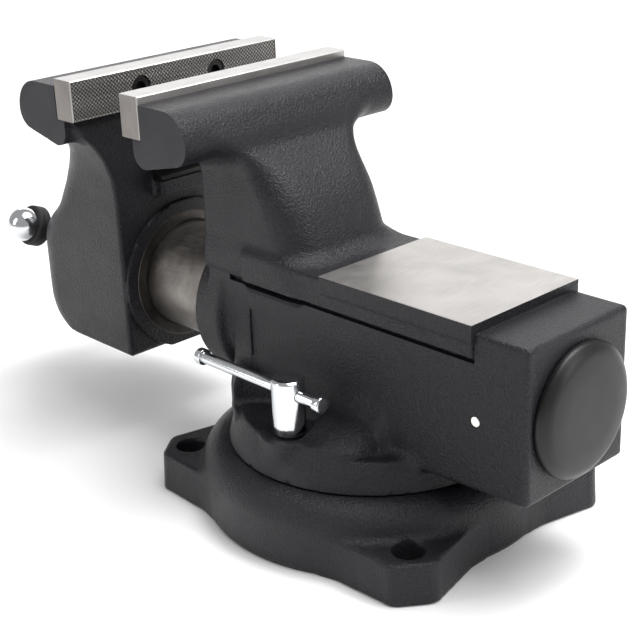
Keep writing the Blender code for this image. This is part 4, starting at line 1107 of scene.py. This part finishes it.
points, faces = spindle_surface()
screw = piece("threaded_spindle", points, faces, "screw", PLAIN_STEEL, ("spindle",), 40.0)
outward(screw.data)
slotted(screw, "steel")
TILT = np.radians(22.0)
BAR_AXIS = (np.cos(TILT), 0.0, np.sin(TILT))
HANDLE_AT = (0, HANDLE_Y, AXIS_Z)
bite(screw, [through("handle_hole", 8.1, HANDLE_AT, BAR_AXIS)], 40.0)
front, rear = HEAD_REAR + 0.3, HEAD_REAR + 3.6
washer = [(12.3, front, 0.2), (20.0, front, 0.5), (20.0, rear, 0.5), (12.3, rear, 0.2)]
turned(
    "head_washer", washer, ON_AXIS, ALONG_Y, "screw", PLAIN_STEEL, "steel", ("thrust_washer",), 72
)

# %% [markdown]
# ## Handle
#
# The bar slides through the head. Each end has a chromed ball, and a rubber buffer so that it
# doesn't ring when it drops.

# %% Handle bar, balls and buffers
NEAR, FAR = 48.5, -215.0
bar_ends = [(0, FAR - 5.0, 0), (7.8, FAR - 5.0, 0.6), (7.8, NEAR + 5.0, 0.6), (0, NEAR + 5.0, 0)]
chromed("handle_rod", bar_ends, HANDLE_AT, BAR_AXIS, "handle", "handle_bar", 72)


def ball_profile(centre, out):
    """A circle's points from its flat to its top, then down the blind bore the bar fills."""
    start = np.arccos(-3.2 / 11.7)
    turn = np.linspace(start, 0.0, 26)
    round_part = [(11.7 * np.sin(a), centre + out * 11.7 * np.cos(a), 0) for a in turn[:-1]]
    top, floor = centre + out * 11.7, centre + out * 5.3
    bore = [(0.02, top, 0), (0.02, floor, 0), (8.1, floor, 0.3)]
    return [(8.1, centre - out * 3.2, 0.2)] + round_part + bore


def buffer_profile(centre, out):
    """A ring with well rounded shoulders and two shallow grooves."""
    inner = centre - out * 3.5
    at = [inner - out * d for d in (0.0, 4.1, 4.85, 5.6, 9.7)]
    return [
        (8.1, at[0], 0.3),
        (14.2, at[0], 2.4),
        (14.2, at[1], 0.3),
        (13.7, at[2], 0.4),
        (14.2, at[3], 0.3),
        (14.2, at[4], 2.4),
        (8.1, at[4], 0.3),
    ]


for name, centre, out in (("near", NEAR, 1), ("far", FAR, -1)):
    ball, ring = ball_profile(centre, out), buffer_profile(centre, out)
    place = (HANDLE_AT, BAR_AXIS)
    chromed(f"chrome_ball_{name}", ball, *place, "handle", f"handle_ball_{name}", 72)
    node_name = f"handle_buffer_{name}"
    turned(f"rubber_buffer_{name}", ring, *place, "handle", RUBBER, "rubber", (node_name,), 80)

# %% [markdown]
# ## Jaw inserts
#
# The gripping faces are cut with two sets of slanting V grooves that cross, which leaves rows
# of small pyramids. The height is the sum of two triangle waves, along (x + z) and (x - z).
# A flat margin runs round the face, and the edges are broken by a small chamfer.

# %% Serrated inserts
TOOTH_DEEP = 0.7
CHAMFER = 0.6
JAWS = (("fixed", "body", 1), ("moving", "sliding_jaw", -1))  # the way its screws point in Y


def gripping_and_back(node_name, way):
    """Y of a jaw piece's gripping face and of its back."""
    low, high = (corner[1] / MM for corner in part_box(node_name))
    return (low, high) if way > 0 else (high, low)


def triangle(v):
    """A wave of straight lines between 0 and 1, of period 1."""
    return 2 * np.abs(np.mod(v + 0.5, 1.0) - 0.5)


def insert_mesh(face_y, back_y):
    """Front grid with teeth, a back grid of the same outline, and a band of quads between."""
    out = np.sign(face_y - back_y)
    low_z, high_z = (corner[2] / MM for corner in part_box("fixed_jaw_insert"))
    step, end = TOOTH_PITCH / 5, JAW_HALF - CHAMFER
    low_in, high_in = low_z + CHAMFER, high_z - CHAMFER
    middle_x = np.linspace(-81.2, 81.2, int(162.4 / step))
    middle_z = np.linspace(low_z + 1.2, high_z - 1.2, int(22.6 / step))
    x = np.concatenate([[-JAW_HALF, -end], middle_x, [end, JAW_HALF]])
    z = np.concatenate([[low_z, low_in], middle_z, [high_in, high_z]])
    gx, gz = np.meshgrid(x, z, indexing="ij")
    teeth = triangle((gx + gz) / TOOTH_PITCH) + triangle((gx - gz) / TOOTH_PITCH)
    margin = np.minimum(end - np.abs(gx), np.minimum(gz - low_in, high_in - gz))
    depth = np.where(margin > 0.5, TOOTH_DEEP * (1 - teeth / 2), 0.0)
    edge = (np.abs(gx) > 82.2) | (gz < low_z + 0.3) | (gz > high_z - 0.3)
    front = np.stack([gx, face_y - out * np.where(edge, CHAMFER, depth), gz], -1)
    rows, columns = gx.shape
    top, bottom = np.arange(1, rows) * columns + columns - 1, np.arange(rows - 2, 0, -1) * columns
    far_end = (rows - 1) * columns + np.arange(columns - 2, -1, -1)
    ring = np.concatenate([np.arange(columns), top, far_end, bottom])
    back = front.reshape(-1, 3)[ring].copy()
    back[:, 1] = back_y
    shoulder_ring = back.copy()
    shoulder_ring[:, 1] = back_y + out * CHAMFER
    back[:, 0] = np.clip(back[:, 0], -end, end)
    back[:, 2] = np.clip(back[:, 2], low_in, high_in)
    points = np.concatenate([front.reshape(-1, 3), shoulder_ring, back])
    i, j = np.meshgrid(np.arange(rows - 1), np.arange(columns - 1), indexing="ij")
    a = i * columns + j
    faces = np.stack([a, a + 1, a + columns + 1, a + columns], -1).reshape(-1, 4).tolist()
    count, start = len(ring), rows * columns
    k = np.arange(count)
    after = (k + 1) % count
    faces += np.stack([ring[k], ring[after], start + after, start + k], -1).tolist()
    last = start + count
    faces += np.stack([start + k, start + after, last + after, last + k], -1).tolist()
    faces.append((last + k).tolist())
    return points, faces


def sawn_end(p, n):
    return np.abs(p[:, 0]) > 82.3


def gripping(p, n):
    near_face = np.abs(p[:, 1] - face_y) < 0.9
    return near_face & (np.abs(p[:, 0]) < 81.8) & (np.abs(p[:, 2] - SCREW_Z) < 11.8)


HEAD_HOLE = [
    (0, -2, 0), (7.9, -2, 0), (7.2, 0.7, 0), (7.2, 9.5, 0), (4.3, 9.5, 0), (4.3, 19, 0), (0, 19, 0)
]
for side, body, way in JAWS:
    node_name = f"{side}_jaw_insert"
    face_y, back_y = gripping_and_back(node_name, way)
    points, faces = insert_mesh(face_y, back_y)
    made = piece(f"{side}_insert", points, faces, body, INSERT_STEEL, (node_name,), 20.0)
    outward(made.data, merge=True)
    at = [(x, face_y, SCREW_Z) for x in (-SCREW_X, SCREW_X)]
    bite(made, [drill("screw_hole", HEAD_HOLE, place, (0, way, 0)) for place in at], 20.0)
    repaint(made, SAWN_STEEL, sawn_end)
    # The gripping face's material darkens the valleys between the teeth with painted shade.
    repaint(made, TOOTHED_STEEL, gripping)
    slotted(made, "ground_steel")

# %% [markdown]
# The screws in the inserts have hexagonal sockets. The head is a profile turned in 48 steps,
# and the socket a six-sided cutter: a lathe with six steps makes a hexagon.

# %% Socket screws
def socket_screw(name, body, node_name, at, way, sunk, head, deep, socket, stem, tail):
    """Cap screw: how far it is sunk, its head's radius and height, its hexagon and its stem."""
    under = sunk + deep
    shape = [(0, sunk, 0), (head, sunk, 0.5), (head, under, 0.3)]
    shape += [(stem, under, 0.2), (stem, tail, 0.8), (0, tail, 0)]
    made = turned(name, shape, at, (0, way, 0), body, OXIDE, "black_steel", (node_name,), 60)
    floor, point = sunk + deep * 0.55, sunk + deep * 0.62
    hexagon = [(0, -2, 0), (socket, -2, 0), (socket, floor, 0), (0, point, 0)]
    bite(made, [drill("hex_key", hexagon, at, (0, way, 0), 6)], 30.0)


INSERT_SCREW = (1.2, 6.8, 8.0, 3.9, 4.0, 33.0)
PIPE_SCREW = (9.5, 4.9, 2.2, 2.2, 2.5, 26.0)
for side, body, way in JAWS:
    face_y = gripping_and_back(f"{side}_jaw_insert", way)[0]
    for number in (1, 2):
        node_name, name = f"{side}_insert_screw_{number}", f"{side}_cap_screw_{number}"
        x = SCREW_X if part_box(node_name)[0][0] > 0 else -SCREW_X
        socket_screw(name, body, node_name, (x, face_y, SCREW_Z), way, *INSERT_SCREW)
    tip = gripping_and_back(f"{side}_pipe_jaw", way)[0]
    node_name, name = f"{side}_pipe_jaw_screw", f"{side}_pipe_screw"
    socket_screw(name, body, node_name, (0, tip, PIPE_SCREW_Z), way, *PIPE_SCREW)

# %% [markdown]
# ## Pipe jaws
#
# Below the inserts two hardened blocks are hollowed to grip round stock. The hollow is toothed:
# its outline is an arc whose radius steps in and out, and the outline is carried along X.

# %% Toothed pipe jaws
def pipe_outline(tip, out):
    """Square block in (y, z) with a toothed arc cut in its face: radius 13 less a saw wave."""
    low, high, back, edge = 169.0, 196.0, tip - out * 16.0, 0.8
    centre = tip + out * 6.0
    half = np.degrees(np.arccos(6.4 / 13.0))
    turn = np.radians(np.linspace(-half, half, 53))
    radius = 13.0 - 0.9 * np.tile([0.0, 1.0], 27)[:53] * (np.abs(np.degrees(turn)) < half - 2)
    wave = zip(radius, turn)
    arc = [(centre - out * r * np.cos(a), PIPE_SCREW_Z + r * np.sin(a)) for r, a in wave]
    outline = [(back + out * edge, low), (tip - out * edge, low), (tip, low + edge)]
    outline += arc + [(tip, high - edge), (tip - out * edge, high), (back + out * edge, high)]
    return np.array(outline + [(back, high - edge), (back, low + edge)])


def carried(outline, stations):
    """An outline of (y, z) carried along X through stations, with flat ends."""
    count = len(outline)
    points = np.concatenate([np.column_stack([np.full(count, x), outline]) for x in stations])
    k = np.arange(count)
    after = (k + 1) % count
    faces = [k[::-1].tolist(), ((len(stations) - 1) * count + k).tolist()]
    for row in range(len(stations) - 1):
        a = row * count
        faces += np.stack([a + k, a + after, a + count + after, a + count + k], -1).tolist()
    return points, faces


PIPE_HOLE = [(0, -2, 0), (5.2, -2, 0), (5.2, 12, 0), (2.8, 12, 0), (2.8, 18, 0), (0, 18, 0)]
for side, body, way in JAWS:
    node_name = f"{side}_pipe_jaw"
    tip = gripping_and_back(node_name, way)[0]
    points, faces = carried(pipe_outline(tip, -way), (-22.0, 0.0, 22.0))
    made = piece(f"{side}_toothed_pipe_jaw", points, faces, body, OXIDE, (node_name,), 20.0)
    outward(made.data, merge=True)
    at = (0, tip, PIPE_SCREW_Z)
    bite(made, [drill("pipe_screw_hole", PIPE_HOLE, at, (0, way, 0))], 20.0)
    slotted(made, "black_steel")

# %% [markdown]
# ## Pieces that keep their CAD shape
#
# What sits inside the castings is right as the CAD made it, so those nodes stay and only take
# a finish.

# %% Inner pieces
KEPT = {
    "swivel_pivot": PLAIN_STEEL,
    "lock_bolt_right": PLAIN_STEEL,
    "lock_bolt_left": PLAIN_STEEL,
    "slide_pin": PLAIN_STEEL,
    "spindle_collar": PLAIN_STEEL,
    "collar_pin": PLAIN_STEEL,
    "spindle_nut": NUT_IRON,
    "nut_anchor_bolt": OXIDE,
}
for name, finish in KEPT.items():
    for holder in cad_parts[name].material_slots:
        holder.material = finish
print("kept nodes:", ", ".join(KEPT))
left = [name for name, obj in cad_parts.items() if not obj.hide_render and name not in KEPT]
print("nodes with their plain CAD look:", left)

# %% [markdown]
# ## Studio
#
# A pale floor, a white room and large soft lamps. Black paint shows its shape only by what it
# reflects, so the lamps are wide and stand on both sides.

# %% Floor and room
def floor_material():
    made, tree, shader = blank("pale floor", Roughness=0.6)
    place = node(tree, "ShaderNodeTexCoord").outputs["Object"]
    cloud = node(tree, "ShaderNodeTexNoise", Vector=place, Scale=3.0, Detail=2.0)
    shade = ranged(tree, cloud.outputs["Fac"], 0.0, 1.0)
    colour = blend(tree, shade, (0.90, 0.90, 0.90), (0.92, 0.92, 0.92))
    tree.links.new(colour, shader.inputs["Base Color"])
    return made


floor_mesh = bpy.data.meshes.new("floor")
floor_mesh.from_pydata([(-6, -6, 0), (6, -6, 0), (6, 6, 0), (-6, 6, 0)], [], [(0, 1, 2, 3)])
floor_mesh.materials.append(floor_material())
floor = bpy.data.objects.new("floor", floor_mesh)
bpy.context.scene.collection.objects.link(floor)

room = bpy.data.worlds.new("room")
room.use_nodes = True
backdrop = room.node_tree.nodes["Background"]
backdrop.inputs["Color"].default_value = (1.0, 1.0, 1.0, 1)
seen = node(room.node_tree, "ShaderNodeLightPath").outputs["Is Camera Ray"]
level = node(room.node_tree, "ShaderNodeMapRange", Value=seen, To_Min=0.42, To_Max=1.0)
room.node_tree.links.new(level.outputs["Result"], backdrop.inputs["Strength"])
bpy.context.scene.world = room


# %% [markdown]
# Four soft boxes and a wide sun. The box behind is the broadest: it draws the long highlights on
# the castings' shoulders.

# %% Lamps
def lamp(name, at, size, power):
    """A rectangular soft lamp aimed at the middle of the vise."""
    data = bpy.data.lights.new(name, "AREA")
    data.shape = "RECTANGLE"
    data.size, data.size_y = size
    data.energy = power
    made = bpy.data.objects.new(name, data)
    made.location = at
    aim = Vector((0, -0.05, 0.12)) - Vector(at)
    made.rotation_euler = aim.to_track_quat("-Z", "Y").to_euler()
    bpy.context.scene.collection.objects.link(made)


lamp("overhead", (-0.35, 0.15, 1.5), (0.7, 0.7), 15)
lamp("left", (1.3, -0.75, 0.75), (0.4, 0.9), 6)
lamp("right", (-0.6, 1.5, 0.7), (0.5, 0.8), 6)
lamp("back", (-1.5, -1.6, 0.95), (2.2, 0.9), 11)
sky = bpy.data.lights.new("sky", "SUN")
sky.energy = 2.0
sky.angle = np.radians(55)
sky_lamp = bpy.data.objects.new("sky", sky)
sky_lamp.rotation_euler = Vector((0.25, -0.35, -1.0)).to_track_quat("-Z", "Y").to_euler()
bpy.context.scene.collection.objects.link(sky_lamp)

# %% [markdown]
# The camera looks down on the vise's rear right corner. It is leant a little to one side, so its
# axes are given as vectors: the third follows from the other two.

# %% Camera
camera_data = bpy.data.cameras.new("camera")
camera_data.sensor_width = 36.0
camera_data.lens = 79.085
camera = bpy.data.objects.new("camera", camera_data)
right = Vector((-0.719648, 0.693354, -0.036975))
up = Vector((-0.284379, -0.245746, 0.926681))
camera.matrix_world = Matrix((right, up, right.cross(up))).transposed().to_4x4()
camera.location = Vector((541.72, 534.40, 418.74)) * MM
bpy.context.scene.collection.objects.link(camera)
bpy.context.scene.camera = camera
bpy.context.scene.view_settings.view_transform = "Standard"
